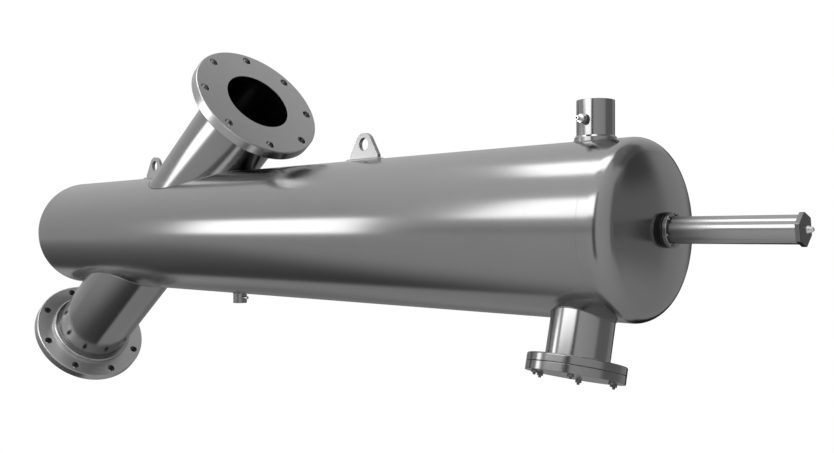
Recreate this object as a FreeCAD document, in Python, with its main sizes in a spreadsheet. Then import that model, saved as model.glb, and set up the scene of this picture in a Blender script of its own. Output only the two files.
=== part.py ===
import FreeCAD, Part
import Sketcher
import os
from FreeCAD import Placement, Rotation, Vector

# Self cleaning water filter: a horizontal pressure vessel with two slanted pipe nozzles, and
# inside it a fine screen that a sliding and turning suction collector cleans.
# Millimetres. The vessel's axis is along +X, +Z is up, and the origin is the centre of the
# inlet flange's face. Places along the vessel are counted from the tangent line of its
# closed end, where the shell's straight part begins.

SIZES = [
    ("shell_od", 323.85, "outside of the 12 inch shell pipe"),
    ("shell_wall", 4.6, "wall of the shell"),
    ("body_length", 2050.0, "from tangent line to tangent line"),
    ("head_skirt", 20.0, "straight part of a dished head"),
    ("head_wall", 5.0, "wall of a dished head"),
    ("crown_radius", 456.0, "outer radius of a head's crown"),
    ("knuckle_radius", 37.0, "outer radius of a head's knuckle"),
    ("nozzle_angle", 35.5, "from the vessel's axis to the nozzles' axis, degrees"),
    ("nozzle_cross", 470.7, "where the two axes cross"),
    ("nozzle_od", 219.1, "outside of the 8 inch nozzle pipe"),
    ("nozzle_wall", 3.76, "wall of a nozzle pipe"),
    ("nozzle_reach", 583.0, "from the crossing to a flange's face"),
    ("flange_od", 342.9, "outside of an 8 inch flange"),
    ("flange_thickness", 28.6, "thickness of its plate"),
    ("flange_bore", 173.0, "bore through its lip"),
    ("flange_lip", 12.0, "depth of the lip that covers the pipe's end"),
    ("flange_hub_od", 246.0, "outside of its hub"),
    ("flange_hub_height", 16.0, "height of its hub"),
    ("flange_bolt_circle", 298.5, "pitch circle of its bolt holes"),
    ("flange_bolt_hole", 22.2, "diameter of a bolt hole"),
    ("flange_bolt_count", 8, "bolt holes in a flange"),
    ("flange_bolt_turn", 9.6, "from the top of a flange to its first hole, degrees"),
    ("flange_rounding", 3.0, "rounding of its rim"),
    ("hub_rounding", 5.0, "rounding at the top of its hub"),
    ("weld_gap", 0.1, "play of a welded or bolted piece in its seat"),
    ("running_gap", 0.05, "radial play of a piece that slides or turns in another"),
    ("end_gap", 0.3, "play along the axis beside a turning piece"),
    ("bulkhead_thickness", 12.0, "thickness of both bulkheads"),
    ("bulkhead_before_cross", 6.7, "from the inlet bulkhead to the crossing"),
    ("inlet_opening", 208.0, "opening through the inlet bulkhead"),
    ("screen_bore", 222.0, "inside of the fine screen"),
    ("screen_wall", 3.0, "wall of the fine screen"),
    ("cage_wall", 6.0, "radial depth of the support cage"),
    ("cage_band", 30.0, "width of the cage's end bands"),
    ("cage_hoop", 12.0, "width of a hoop of the cage"),
    ("cage_hoop_count", 7, "hoops between the end bands"),
    ("cage_bar", 8.0, "width of a bar of the cage"),
    ("cage_bar_count", 12, "bars of the cage"),
    ("seal_section", 4.0, "radial depth of a screen seal"),
    ("seal_width", 8.0, "width of a screen seal"),
    ("socket_wall", 6.0, "wall of a screen socket on a bulkhead"),
    ("socket_depth", 14.0, "depth of a screen socket"),
    ("collector_od", 60.3, "outside of the collector tube"),
    ("collector_wall", 3.2, "wall of the collector tube"),
    ("collector_reach", 184.0, "reach of the collector tube before the inlet bulkhead"),
    ("collector_out", 60.0, "reach of the tube past the motor bulkhead's left face"),
    ("motor_room", 45.0, "from the tube, fully out, to the drive end's tangent line"),
    ("suction_inlet_play", 12.0, "from the first mouth at rest to the screen's end"),
    ("suction_motor_play", 26.0, "from the last mouth, fully out, to the screen's end"),
    ("suction_count", 8, "suction nozzles"),
    ("suction_turn", 45.0, "turn from one suction nozzle to the next, degrees"),
    ("suction_first_turn", 20.0, "turn of the first suction nozzle, degrees"),
    ("suction_neck", 24.0, "outside of a suction nozzle's neck"),
    ("suction_bore", 14.0, "bore of a suction nozzle"),
    ("suction_mouth", 36.0, "outside of a suction nozzle's mouth"),
    ("suction_flare", 16.0, "height of the flare behind the mouth"),
    ("suction_rim", 6.0, "height of the mouth's straight rim"),
    ("suction_clearance", 3.5, "from the mouth to the screen"),
    ("bush_wall", 6.0, "wall of a collector bush"),
    ("bush_length", 36.0, "length of a collector bush"),
    ("spider_hub_wall", 8.0, "wall of the guide spider's hub"),
    ("spider_arm", 12.0, "width of an arm of the spider"),
    ("spider_arm_count", 3, "arms of the spider"),
    ("motor_hub_od", 80.0, "outside of the reaction motor's hub"),
    ("motor_hub_length", 58.0, "length of the hub"),
    ("motor_hub_grip", 12.0, "stretch of the tube inside the hub"),
    ("motor_arm_od", 21.3, "outside of a motor arm"),
    ("motor_arm_wall", 2.5, "wall of a motor arm"),
    ("motor_arm_straight", 34.0, "straight part of an arm outside the hub"),
    ("motor_arm_bend", 28.0, "bend radius of an arm"),
    ("motor_arm_count", 2, "arms of the motor"),
    ("motor_arm_turn", 20.0, "turn of the first arm, degrees"),
    ("thrust_plate", 14.0, "thickness of the plug that the rod turns in"),
    ("thrust_collar_od", 36.0, "outside of a thrust collar"),
    ("thrust_collar_width", 8.0, "width of a thrust collar"),
    ("rod_od", 20.0, "outside of the piston rod"),
    ("rod_gland_bore", 32.0, "hole through the drive end head"),
    ("gland_od", 61.4, "outside of the two gland rings"),
    ("gland_stand", 5.4, "from the head's highest point to the base ring's front face"),
    ("gland_spigot", 9.0, "reach of the base ring behind the head's hole"),
    ("gland_seal_thickness", 1.5, "thickness of the gasket between the rings"),
    ("gland_seal_step", 2.4, "how far the gasket stands back from the rim"),
    ("gland_flange_thickness", 8.0, "thickness of the front ring"),
    ("gland_rounding", 1.2, "rounding of the rings' rims"),
    ("rod_seal_od", 30.0, "outside of the rod seal"),
    ("rod_seal_width", 5.0, "width of the rod seal"),
    ("gland_screw_circle", 54.0, "pitch circle of the gland screws"),
    ("gland_screw_count", 6, "gland screws"),
    ("gland_screw_od", 3.0, "shank of a gland screw"),
    ("gland_screw_head", 5.2, "head of a gland screw"),
    ("gland_screw_head_height", 2.6, "height of the head"),
    ("gland_screw_grip", 4.0, "depth of a screw in the base ring"),
    ("gland_screw_turn", 12.0, "turn of the first gland screw, degrees"),
    ("housing_od", 45.8, "outside of the piston housing"),
    ("housing_wall", 2.9, "wall of the piston housing"),
    ("piston_stop_gap", 16.0, "from the piston, fully out, to the cap's spigot"),
    ("cap_thickness", 7.5, "thickness of the hexagonal end cap"),
    ("cap_across_corners", 55.0, "end cap, corner to corner"),
    ("cap_corner_rounding", 2.5, "rounding of its corners"),
    ("cap_turn", 11.5, "turn of its hexagon about the axis, degrees"),
    ("cap_spigot", 9.0, "reach of its spigot into the housing"),
    ("cap_seal_width", 3.0, "width of the ring in the spigot"),
    ("cap_seal_depth", 2.0, "depth of that ring's groove"),
    ("cap_port", 4.0, "bore for the control water"),
    ("cap_nipple_od", 12.6, "root of the nipple on the cap"),
    ("cap_nipple_tip", 7.6, "tip of that nipple"),
    ("cap_nipple_length", 12.0, "length of that nipple"),
    ("piston_gap", 5.0, "from the front ring to the piston at rest"),
    ("piston_length", 24.0, "length of the piston"),
    ("piston_seal_width", 4.0, "width of a piston ring"),
    ("piston_seal_depth", 3.0, "radial depth of a piston ring"),
    ("piston_seal_inset", 4.0, "from a piston face to its ring"),
    ("flush_from_end", 84.0, "from the flush port to the drive end's tangent line"),
    ("flush_od", 69.0, "outside of the flush port's pipe"),
    ("flush_wall", 3.0, "wall of that pipe"),
    ("flush_stand", 71.6, "height of its rim above the shell"),
    ("flush_collar_od", 76.5, "foot of the weld collar"),
    ("flush_collar_stand", 7.6, "height of the collar above the shell"),
    ("flush_collar_slope", 3.4, "height of the collar's sloping side"),
    ("sample_stand", 35.1, "height of the sample connection above the shell"),
    ("sample_boss_od", 19.0, "outside of its boss"),
    ("sample_boss_end", 43.0, "end of the boss from the port's axis"),
    ("sample_nut_size", 14.0, "hexagon of its fitting, across flats"),
    ("sample_nut_length", 7.5, "length of that hexagon"),
    ("sample_tail_od", 7.6, "outside of the fitting's tail"),
    ("sample_tail_end", 61.6, "end of the tail from the port's axis"),
    ("sample_tail_bead", 2.4, "length of the bead at the tail's end"),
    ("sample_bead_od", 9.2, "outside of that bead"),
    ("sample_bore", 4.0, "bore of the sample connection"),
    ("hatch_from_end", 83.5, "from the service hatch to the drive end's tangent line"),
    ("hatch_tilt", 14.7, "lean of its axis to the front, degrees"),
    ("hatch_neck_od", 114.3, "outside of its 4 inch neck"),
    ("hatch_neck_wall", 3.05, "wall of the neck"),
    ("hatch_flange_od", 176.0, "outside of its flange and cover"),
    ("hatch_stand", 72.8, "from the shell to the flange's back"),
    ("hatch_flange_thickness", 14.5, "thickness of the flange"),
    ("hatch_gasket", 1.0, "thickness of the gasket"),
    ("hatch_gasket_step", 1.5, "how far the gasket stands back from the rim"),
    ("hatch_cover_thickness", 14.6, "thickness of the cover"),
    ("hatch_rounding", 2.5, "rounding of the flange's rim"),
    ("hatch_bolt_circle", 152.5, "pitch circle of the studs"),
    ("hatch_bolt_count", 6, "studs"),
    ("hatch_bolt_turn", 2.2, "turn of the first stud, degrees"),
    ("stud_od", 6.0, "outside of a stud"),
    ("stud_grip", 10.0, "depth of a stud in the flange"),
    ("stud_end", 8.6, "how far a stud stands out of the cover"),
    ("stud_point", 1.0, "chamfer of a stud's end"),
    ("nut_size", 10.0, "nut of a stud, across flats"),
    ("nut_height", 5.0, "height of a nut"),
    ("lug_near_from_end", 696.0, "from the near lug to the drive end's tangent line"),
    ("lug_far_gap", 23.5, "from the far lug's pad to the root of the outlet nozzle"),
    ("lug_thickness", 10.0, "thickness of a lug"),
    ("lug_eye", 30.0, "diameter of a lug's eye"),
    ("lug_eye_stand", 36.1, "height of the eye above the shell"),
    ("lug_top_radius", 26.0, "radius round the eye"),
    ("lug_half_width", 46.0, "half of the lug's foot"),
    ("lug_shoulder_stand", 10.6, "height above the shell where the sloping sides begin"),
    ("pad_length", 105.0, "length of a lug's pad"),
    ("pad_thickness", 4.0, "thickness of the pad"),
    ("pad_half_angle", 4.3, "half of the angle that the pad covers, degrees"),
    ("pad_bevel", 3.0, "bevel round the pad"),
    ("drain_at", 864.8, "place of the drain coupling"),
    ("drain_od", 35.4, "outside of the coupling"),
    ("drain_bore", 24.1, "thread bore of the coupling"),
    ("drain_stand", 25.6, "from the shell to the coupling's end"),
    ("bleed_stand", 11.1, "from the shell to the bleed nipple"),
    ("bleed_od", 7.2, "outside of the bleed nipple"),
    ("bleed_bead_od", 9.0, "outside of its bead"),
    ("bleed_bead", 3.0, "length of its bead"),
    ("bleed_end", 34.0, "end of the bleed nipple from the drain's axis"),
    ("bleed_bore", 3.0, "bore of the bleed nipple"),
]

# Sizes that follow from the driving ones. A row may use the rows above it.
LAYOUT = [
    ("shell_r", "Sizes.shell_od / 2"),
    ("shell_in", "Layout.shell_r - Sizes.shell_wall"),
    ("axis_x", "Sizes.nozzle_reach * cos(Sizes.nozzle_angle) - Sizes.nozzle_cross"),
    ("axis_z", "Sizes.nozzle_reach * sin(Sizes.nozzle_angle)"),
    ("knuckle_up", "Layout.shell_r - Sizes.knuckle_radius"),
    ("crown_reach", "Sizes.crown_radius - Sizes.knuckle_radius"),
    ("crown_centre", "-sqrt(Layout.crown_reach ^ 2 - Layout.knuckle_up ^ 2)"),
    ("crown_in", "Sizes.crown_radius - Sizes.head_wall"),
    ("join_x", "-Layout.crown_centre / Layout.crown_reach"),
    ("join_r", "Layout.knuckle_up / Layout.crown_reach"),
    ("nozzle_r", "Sizes.nozzle_od / 2"),
    ("nozzle_in", "Layout.nozzle_r - Sizes.nozzle_wall"),
    ("pipe_end", "Sizes.nozzle_reach - Sizes.flange_lip"),
    ("flange_back", "Sizes.nozzle_reach - Sizes.flange_thickness"),
    ("screen_in", "Sizes.screen_bore / 2"),
    ("screen_out", "Layout.screen_in + Sizes.screen_wall"),
    ("cage_in", "Layout.screen_out + Sizes.weld_gap"),
    ("cage_out", "Layout.cage_in + Sizes.cage_wall"),
    ("socket_in", "Layout.cage_out + Sizes.seal_section"),
    ("socket_out", "Layout.socket_in + Sizes.socket_wall"),
    ("inlet_bulkhead_at", "Sizes.nozzle_cross - Sizes.bulkhead_before_cross"),
    ("screen_from", "Layout.inlet_bulkhead_at + Sizes.bulkhead_thickness"),
    ("mouth_r", "Sizes.suction_mouth / 2"),
    ("suction_start", "Layout.screen_from + Sizes.suction_inlet_play + Layout.mouth_r"),
    ("motor_end", "Sizes.body_length - Sizes.motor_room - Sizes.collector_out"),
    ("suction_end", "Layout.motor_end - Sizes.suction_motor_play - Layout.mouth_r"),
    ("suction_pitch", "(Layout.suction_end - Layout.suction_start) / (Sizes.suction_count + 1)"),
    ("motor_bulkhead_at", "Layout.motor_end - Layout.suction_pitch"),
    ("collector_start", "Layout.inlet_bulkhead_at - Sizes.collector_reach"),
    ("collector_end", "Layout.motor_bulkhead_at + Sizes.collector_out"),
    ("screen_to", "Layout.motor_bulkhead_at"),
    ("screen_length", "Layout.screen_to - Layout.screen_from"),
    ("bulkhead_r", "Layout.shell_in - Sizes.weld_gap"),
    ("collector_r", "Sizes.collector_od / 2"),
    ("collector_in", "Layout.collector_r - Sizes.collector_wall"),
    ("bush_in", "Layout.collector_r + Sizes.running_gap"),
    ("bush_out", "Layout.bush_in + Sizes.bush_wall"),
    ("bush_seat", "Layout.bush_out + Sizes.weld_gap"),
    ("spider_hub", "Layout.bush_seat + Sizes.spider_hub_wall"),
    ("spider_left", "Layout.screen_from - Sizes.bush_length"),
    ("spider_rim", "Sizes.inlet_opening / 2 - Sizes.weld_gap"),
    ("motor_bush_right", "Layout.motor_bulkhead_at + Sizes.bush_length"),
    ("suction_tip", "Layout.screen_in - Sizes.suction_clearance"),
    ("hub_left", "Layout.collector_end - Sizes.motor_hub_grip"),
    ("hub_right", "Layout.hub_left + Sizes.motor_hub_length"),
    ("hub_seat", "Layout.collector_r + Sizes.weld_gap"),
    ("plug_left", "Layout.hub_right - Sizes.thrust_plate / 2"),
    ("plug_right", "Layout.hub_right + Sizes.thrust_plate / 2"),
    ("arm_at", "Layout.collector_end + Sizes.motor_arm_od"),
    ("rod_r", "Sizes.rod_od / 2"),
    ("rod_bore", "Layout.rod_r + Sizes.running_gap"),
    ("collar_left", "Layout.plug_left - Sizes.end_gap - Sizes.thrust_collar_width"),
    ("collar_right", "Layout.plug_right + Sizes.end_gap + Sizes.thrust_collar_width"),
    ("gland_r", "Sizes.gland_od / 2"),
    ("gland_neck", "Sizes.rod_gland_bore / 2 - Sizes.weld_gap"),
    ("crown_top", "Sizes.body_length + Layout.crown_centre + Sizes.crown_radius"),
    ("gland_front_at", "Layout.crown_top + Sizes.gland_stand"),
    ("gland_seal_front", "Layout.gland_front_at + Sizes.gland_seal_thickness"),
    ("gland_flange_front", "Layout.gland_seal_front + Sizes.gland_flange_thickness"),
    ("housing_r", "Sizes.housing_od / 2"),
    ("housing_in", "Layout.housing_r - Sizes.housing_wall"),
    ("piston_at", "Layout.gland_flange_front + Sizes.piston_gap"),
    ("piston_out", "Layout.piston_at + Sizes.piston_length + Layout.suction_pitch"),
    ("housing_end_at", "Layout.piston_out + Sizes.piston_stop_gap + Sizes.cap_spigot"),
    ("cap_front", "Layout.housing_end_at + Sizes.cap_thickness"),
    ("piston_r", "Layout.housing_in - Sizes.running_gap"),
    ("flush_r", "Sizes.flush_od / 2"),
    ("flush_in", "Layout.flush_r - Sizes.flush_wall"),
    ("flush_at", "Sizes.body_length - Sizes.flush_from_end"),
    ("flush_top", "Layout.shell_r + Sizes.flush_stand"),
    ("flush_collar_top", "Layout.shell_r + Sizes.flush_collar_stand"),
    ("sample_height", "Layout.shell_r + Sizes.sample_stand"),
    ("hatch_at", "Sizes.body_length - Sizes.hatch_from_end"),
    ("hatch_flange_back", "Layout.shell_r + Sizes.hatch_stand"),
    ("hatch_neck_r", "Sizes.hatch_neck_od / 2"),
    ("hatch_in", "Layout.hatch_neck_r - Sizes.hatch_neck_wall"),
    ("hatch_joint", "Layout.hatch_flange_back + Sizes.hatch_flange_thickness"),
    ("hatch_cover_back", "Layout.hatch_joint + Sizes.hatch_gasket"),
    ("hatch_cover_front", "Layout.hatch_cover_back + Sizes.hatch_cover_thickness"),
    ("hatch_r", "Sizes.hatch_flange_od / 2"),
    ("hatch_bolt_r", "Sizes.hatch_bolt_circle / 2"),
    ("stud_r", "Sizes.stud_od / 2"),
    ("stud_hole", "Layout.stud_r + Sizes.weld_gap"),
    ("pad_r", "Layout.shell_r + Sizes.pad_thickness"),
    ("lug_eye_height", "Layout.shell_r + Sizes.lug_eye_stand"),
    ("lug_shoulder", "Layout.shell_r + Sizes.lug_shoulder_stand"),
    ("lug_near_at", "Sizes.body_length - Sizes.lug_near_from_end"),
    ("root_middle", "Sizes.nozzle_cross + Layout.shell_r / tan(Sizes.nozzle_angle)"),
    ("root_left", "Layout.root_middle - Layout.nozzle_r / sin(Sizes.nozzle_angle)"),
    ("lug_far_at", "Layout.root_left - Sizes.lug_far_gap - Sizes.pad_length / 2"),
    ("drain_end", "Layout.shell_r + Sizes.drain_stand"),
    ("bleed_height", "Layout.shell_r + Sizes.bleed_stand"),
]

# Centre line of the vessel, which every piece that is turned about it shares.
ON_AXIS = ("Layout.axis_x", "0", "Layout.axis_z")

doc = FreeCAD.newDocument("self_cleaning_filter")
sizes = doc.addObject("Spreadsheet::Sheet", "Sizes")
layout = doc.addObject("Spreadsheet::Sheet", "Layout")
pieces = []


def fill_sheets():
    """Writes the driving sizes as plain numbers, and the sizes that follow as formulas."""
    for row, (alias, number, note) in enumerate(SIZES, start=1):
        sizes.set("A%d" % row, note)
        sizes.set("B%d" % row, str(number))
        sizes.setAlias("B%d" % row, alias)
    doc.recompute()
    for row, (alias, formula) in enumerate(LAYOUT, start=1):
        layout.set("B%d" % row, "=" + formula)
        layout.setAlias("B%d" % row, alias)
        doc.recompute()


def value(expression):
    """Number that an expression on the sheets gives."""
    result = sizes.evalExpression(expression)
    return float(getattr(result, "Value", result))


def along(place):
    """Base of a piece at a place along the vessel's axis."""
    return ("Layout.axis_x + " + place, "0", "Layout.axis_z")


def new_body(label, base=ON_AXIS, turn_axis=None, turn="0"):
    """Starts a sub-part whose Placement follows the sheets."""
    body = doc.addObject("PartDesign::Body", label)
    body.Label = label
    if turn_axis is not None:
        body.Placement = Placement(Vector(), Rotation(turn_axis, value(turn)))
        body.setExpression("Placement.Rotation.Angle", turn)
    for direction, expression in zip("xyz", base):
        body.setExpression("Placement.Base." + direction, expression)
    pieces.append(body)
    return body


def origin_part(body, role):
    """One of the body's own planes or axes, such as XY_Plane."""
    return next(part for part in body.Origin.OriginFeatures if part.Role == role)


def new_sketch(body, role, name, offset=None):
    """Sketch on one of the body's own planes, at an offset along the plane's normal."""
    sketch = body.newObject("Sketcher::SketchObject", name)
    sketch.AttachmentSupport = [(origin_part(body, role), "")]
    sketch.MapMode = "FlatFace"
    if offset is not None:
        sketch.setExpression("AttachmentOffset.Base.z", offset)
    return sketch


def hold(sketch, kind, *geometry, size):
    """Adds one dimension that follows an expression."""
    number = sketch.addConstraint(Sketcher.Constraint(kind, *geometry, value(size)))
    sketch.setExpression("Constraints[%d]" % number, size)


def point_of(corner):
    """Where a corner of an outline lies now."""
    return Vector(value(corner[0]), value(corner[1]), 0)


def outline(sketch, corners, arcs=None):
    """Draws a closed outline through corners given as expressions.

    arcs names the stretches that are arcs, by the number of the corner they leave, with their
    centre. The corner that an arc runs to has a third item, the one coordinate that is held:
    the arc's radius gives the other.
    """
    arcs = arcs or {}
    count = len(corners)
    first = sketch.GeometryCount
    starts = []
    for number, corner in enumerate(corners):
        start = point_of(corner)
        end = point_of(corners[(number + 1) % count])
        if number not in arcs:
            sketch.addGeometry(Part.LineSegment(start, end), False)
            starts.append(1)
            continue
        centre = point_of(arcs[number])
        circle = Part.Circle(centre, Vector(0, 0, 1), (start - centre).Length)
        forward = (start - centre).cross(end - centre).z > 0
        low, high = (start, end) if forward else (end, start)
        arc = Part.ArcOfCircle(circle, circle.parameter(low), circle.parameter(high))
        sketch.addGeometry(arc, False)
        starts.append(1 if forward else 2)
    for number in range(count):
        following = (number + 1) % count
        join = (first + number, 3 - starts[number], first + following, starts[following])
        sketch.addConstraint(Sketcher.Constraint("Coincident", *join))
    for number, corner in enumerate(corners):
        held = corner[2] if len(corner) > 2 else "xy"
        end = (first + number, starts[number])
        if "x" in held:
            hold(sketch, "DistanceX", *end, size=corner[0])
        if "y" in held:
            hold(sketch, "DistanceY", *end, size=corner[1])
    for number, centre in arcs.items():
        hold(sketch, "DistanceX", first + number, 3, size=centre[0])
        hold(sketch, "DistanceY", first + number, 3, size=centre[1])


def circle(sketch, x, y, radius):
    """Draws a circle whose centre and radius follow expressions."""
    number = sketch.GeometryCount
    sketch.addGeometry(Part.Circle(point_of((x, y)), Vector(0, 0, 1), value(radius)), False)
    hold(sketch, "DistanceX", number, 3, size=x)
    hold(sketch, "DistanceY", number, 3, size=y)
    hold(sketch, "Radius", number, size=radius)


def turn_outline(body, name, corners, arcs=None, about="H_Axis"):
    """Turns a half outline in the XZ plane about the body's X or Z axis."""
    sketch = new_sketch(body, "XZ_Plane", name + "_outline")
    outline(sketch, corners, arcs)
    turned = body.newObject("PartDesign::Revolution", name)
    turned.Profile = sketch
    turned.ReferenceAxis = (sketch, [about])
    turned.Angle = 360
    return turned


def ring(body, name, inner, outer, low, high, about="H_Axis"):
    """Plain turned ring between two radii and two places along its axis."""
    corners = [(low, inner), (low, outer), (high, outer), (high, inner)]
    if about == "V_Axis":
        corners = [(radius, place) for place, radius in corners]
    return turn_outline(body, name, corners, about=about)


def cut_cylinder(body, name, radius, length, base=("0", "0", "0"), turn_axis=None, turn="0"):
    """Takes a cylinder out of the body. It runs along Z before its turn."""
    cutter = body.newObject("PartDesign::SubtractiveCylinder", name)
    cutter.setExpression("Radius", radius)
    cutter.setExpression("Height", length)
    if turn_axis is not None:
        cutter.Placement = Placement(Vector(), Rotation(turn_axis, value(turn)))
        cutter.setExpression("Placement.Rotation.Angle", turn)
    for direction, expression in zip("xyz", base):
        cutter.setExpression("Placement.Base." + direction, expression)
    return cutter


def cut_saddle(body, name, radius, length="Sizes.shell_od"):
    """Cuts the foot of a piece that stands on a cylinder lying along the body's X axis."""
    base = ("-(%s) / 2" % length, "0", "0")
    return cut_cylinder(body, name, radius, length, base, Vector(0, 1, 0), "90")


def pattern(body, name, feature, role, count):
    """Repeats a feature evenly round one of the body's axes."""
    polar = body.newObject("PartDesign::PolarPattern", name)
    polar.Originals = [feature]
    polar.Axis = (origin_part(body, role), [""])
    polar.Angle = 360
    polar.setExpression("Occurrences", count)
    body.Tip = polar
    return polar


def drill_circle(body, name, plane, axis, radius, circle_r, turn, count, depth=None, offset=None):
    """Drills holes on a circle, all through or to a depth from the sketch's plane."""
    sketch = new_sketch(body, plane, name + "_place", offset)
    across = "(%s) * sin(%s)" % (circle_r, turn)
    up = "(%s) * cos(%s)" % (circle_r, turn)
    if plane == "XY_Plane":
        across, up = up, across
    circle(sketch, across, up, radius)
    hole = body.newObject("PartDesign::Pocket", name)
    hole.Profile = sketch
    if depth is None:
        hole.Type = "ThroughAll"
        hole.SideType = "Symmetric"
    else:
        hole.setExpression("Length", depth)
        hole.Reversed = value(depth) < 0
    return pattern(body, name + "_circle", hole, axis, count)


def round_edges(body, name, feature, radius, test, kind="Fillet"):
    """Fillets or chamfers the edges of a feature that pass a test."""
    doc.recompute()
    edges = enumerate(feature.Shape.Edges, start=1)
    names = ["Edge%d" % number for number, edge in edges if test(edge)]
    rounded = body.newObject("PartDesign::" + kind, name)
    rounded.Base = (feature, names)
    rounded.setExpression("Radius" if kind == "Fillet" else "Size", radius)
    return rounded


def is_rim(edge, radius, places=None, axis="x"):
    """True for a full circle of a radius, at one of some places along an axis."""
    if not isinstance(edge.Curve, Part.Circle) or abs(edge.Curve.Radius - radius) > 1e-4:
        return False
    here = getattr(edge.Curve.Center, axis)
    return places is None or any(abs(here - place) < 1e-4 for place in places)


# Vessel


def make_shell():
    """Shell pipe, open where the nozzles, ports and hatch join it."""
    body = new_body("shell")
    ring(body, "shell_pipe", "Layout.shell_in", "Layout.shell_r", "Sizes.head_skirt",
         "Sizes.body_length - Sizes.head_skirt")
    across = Vector(0, 1, 0)
    crossing = ("Sizes.nozzle_cross", "0", "0")
    bore = ("Layout.nozzle_in", "Sizes.nozzle_reach")
    cut_cylinder(body, "outlet_hole", *bore, crossing, across, "90 - Sizes.nozzle_angle")
    cut_cylinder(body, "inlet_hole", *bore, crossing, across, "270 - Sizes.nozzle_angle")
    cut_cylinder(body, "flush_hole", "Layout.flush_in", "Sizes.shell_od", ("Layout.flush_at", "0", "0"))
    along_x = Vector(1, 0, 0)
    cut_cylinder(body, "hatch_hole", "Layout.hatch_in", "Sizes.shell_od",
                 ("Layout.hatch_at", "0", "0"), along_x, "180 - Sizes.hatch_tilt")
    cut_cylinder(body, "drain_hole", "Sizes.drain_bore / 2", "Sizes.shell_od",
                 ("Sizes.drain_at", "0", "0"), along_x, "180")


def make_head(label, bore, base=ON_AXIS, turn_axis=None, turn="0"):
    """Dished head: a short skirt, a tight knuckle and a wide crown, all of one wall."""
    body = new_body(label, base, turn_axis, turn)
    outer_join = ("Layout.crown_centre + Sizes.crown_radius * Layout.join_x",
                  "Sizes.crown_radius * Layout.join_r", "x")
    inner_join = ("Layout.crown_centre + Layout.crown_in * Layout.join_x",
                  "Layout.crown_in * Layout.join_r")
    crown = "Layout.crown_centre + sqrt(%s ^ 2 - (%s) ^ 2)"
    corners = [
        ("-Sizes.head_skirt", "Layout.shell_r"),
        ("0", "Layout.shell_r"),
        outer_join,
        (crown % ("Sizes.crown_radius", bore), bore, "y"),
        (crown % ("Layout.crown_in", bore), bore),
        inner_join + ("x",),
        ("0", "Layout.shell_r - Sizes.head_wall", "x"),
        ("-Sizes.head_skirt", "Layout.shell_r - Sizes.head_wall"),
    ]
    knuckle = ("0", "Layout.knuckle_up")
    middle = ("Layout.crown_centre", "0")
    turn_outline(body, label + "_dish", corners, {1: knuckle, 2: middle, 4: middle, 5: knuckle})


def make_heads():
    """Closed head on the left, and on the right the head that the piston rod passes."""
    make_head("closed_end_head", "0", ON_AXIS, Vector(0, 0, 1), "180")
    make_head("drive_end_head", "Sizes.rod_gland_bore / 2", along("Sizes.body_length"))


# Slanted nozzles and their flanges


def nozzle_pose(side):
    """Placement of a nozzle piece: local X leaves the vessel along the nozzle."""
    turn = "-Sizes.nozzle_angle" if side == "outlet" else "180 - Sizes.nozzle_angle"
    return along("Sizes.nozzle_cross"), Vector(0, 1, 0), turn


def make_nozzle_pipe(side):
    """Nozzle pipe, its foot cut to the shell's curve at the nozzle's slant."""
    body = new_body(side + "_nozzle_pipe", *nozzle_pose(side))
    ring(body, side + "_tube", "Layout.nozzle_in", "Layout.nozzle_r", "0", "Layout.pipe_end")
    base = ("-Sizes.nozzle_reach * cos(Sizes.nozzle_angle)", "0",
            "Sizes.nozzle_reach * sin(Sizes.nozzle_angle)")
    cut_cylinder(body, side + "_foot", "Layout.shell_r", "2 * Sizes.nozzle_reach", base,
                 Vector(0, 1, 0), "90 + Sizes.nozzle_angle")


def make_nozzle_flange(side):
    """Slip-on flange with a rounded hub, and a lip that covers the pipe's end."""
    body = new_body(side + "_flange", *nozzle_pose(side))
    bore = "Sizes.flange_bore / 2"
    seat = "Layout.nozzle_r + Sizes.weld_gap"
    hub = "Sizes.flange_hub_od / 2"
    hub_back = "Layout.flange_back - Sizes.flange_hub_height"
    corners = [
        ("Sizes.nozzle_reach", bore),
        ("Sizes.nozzle_reach", "Sizes.flange_od / 2"),
        ("Layout.flange_back", "Sizes.flange_od / 2"),
        ("Layout.flange_back", hub),
        (hub_back, hub),
        (hub_back, seat),
        ("Layout.pipe_end", seat),
        ("Layout.pipe_end", bore),
    ]
    turn_outline(body, side + "_plate", corners)
    drill_circle(body, side + "_bolt_hole", "YZ_Plane", "X_Axis", "Sizes.flange_bolt_hole / 2",
                 "Sizes.flange_bolt_circle / 2", "Sizes.flange_bolt_turn",
                 "Sizes.flange_bolt_count")
    rim = value("Sizes.flange_od / 2")
    rounded = round_edges(body, side + "_rim", body.Tip, "Sizes.flange_rounding",
                          lambda edge: is_rim(edge, rim))
    top = value(hub)
    places = [value(hub_back)]
    round_edges(body, side + "_hub", rounded, "Sizes.hub_rounding",
                lambda edge: is_rim(edge, top, places))


# Lifting lugs


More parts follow.
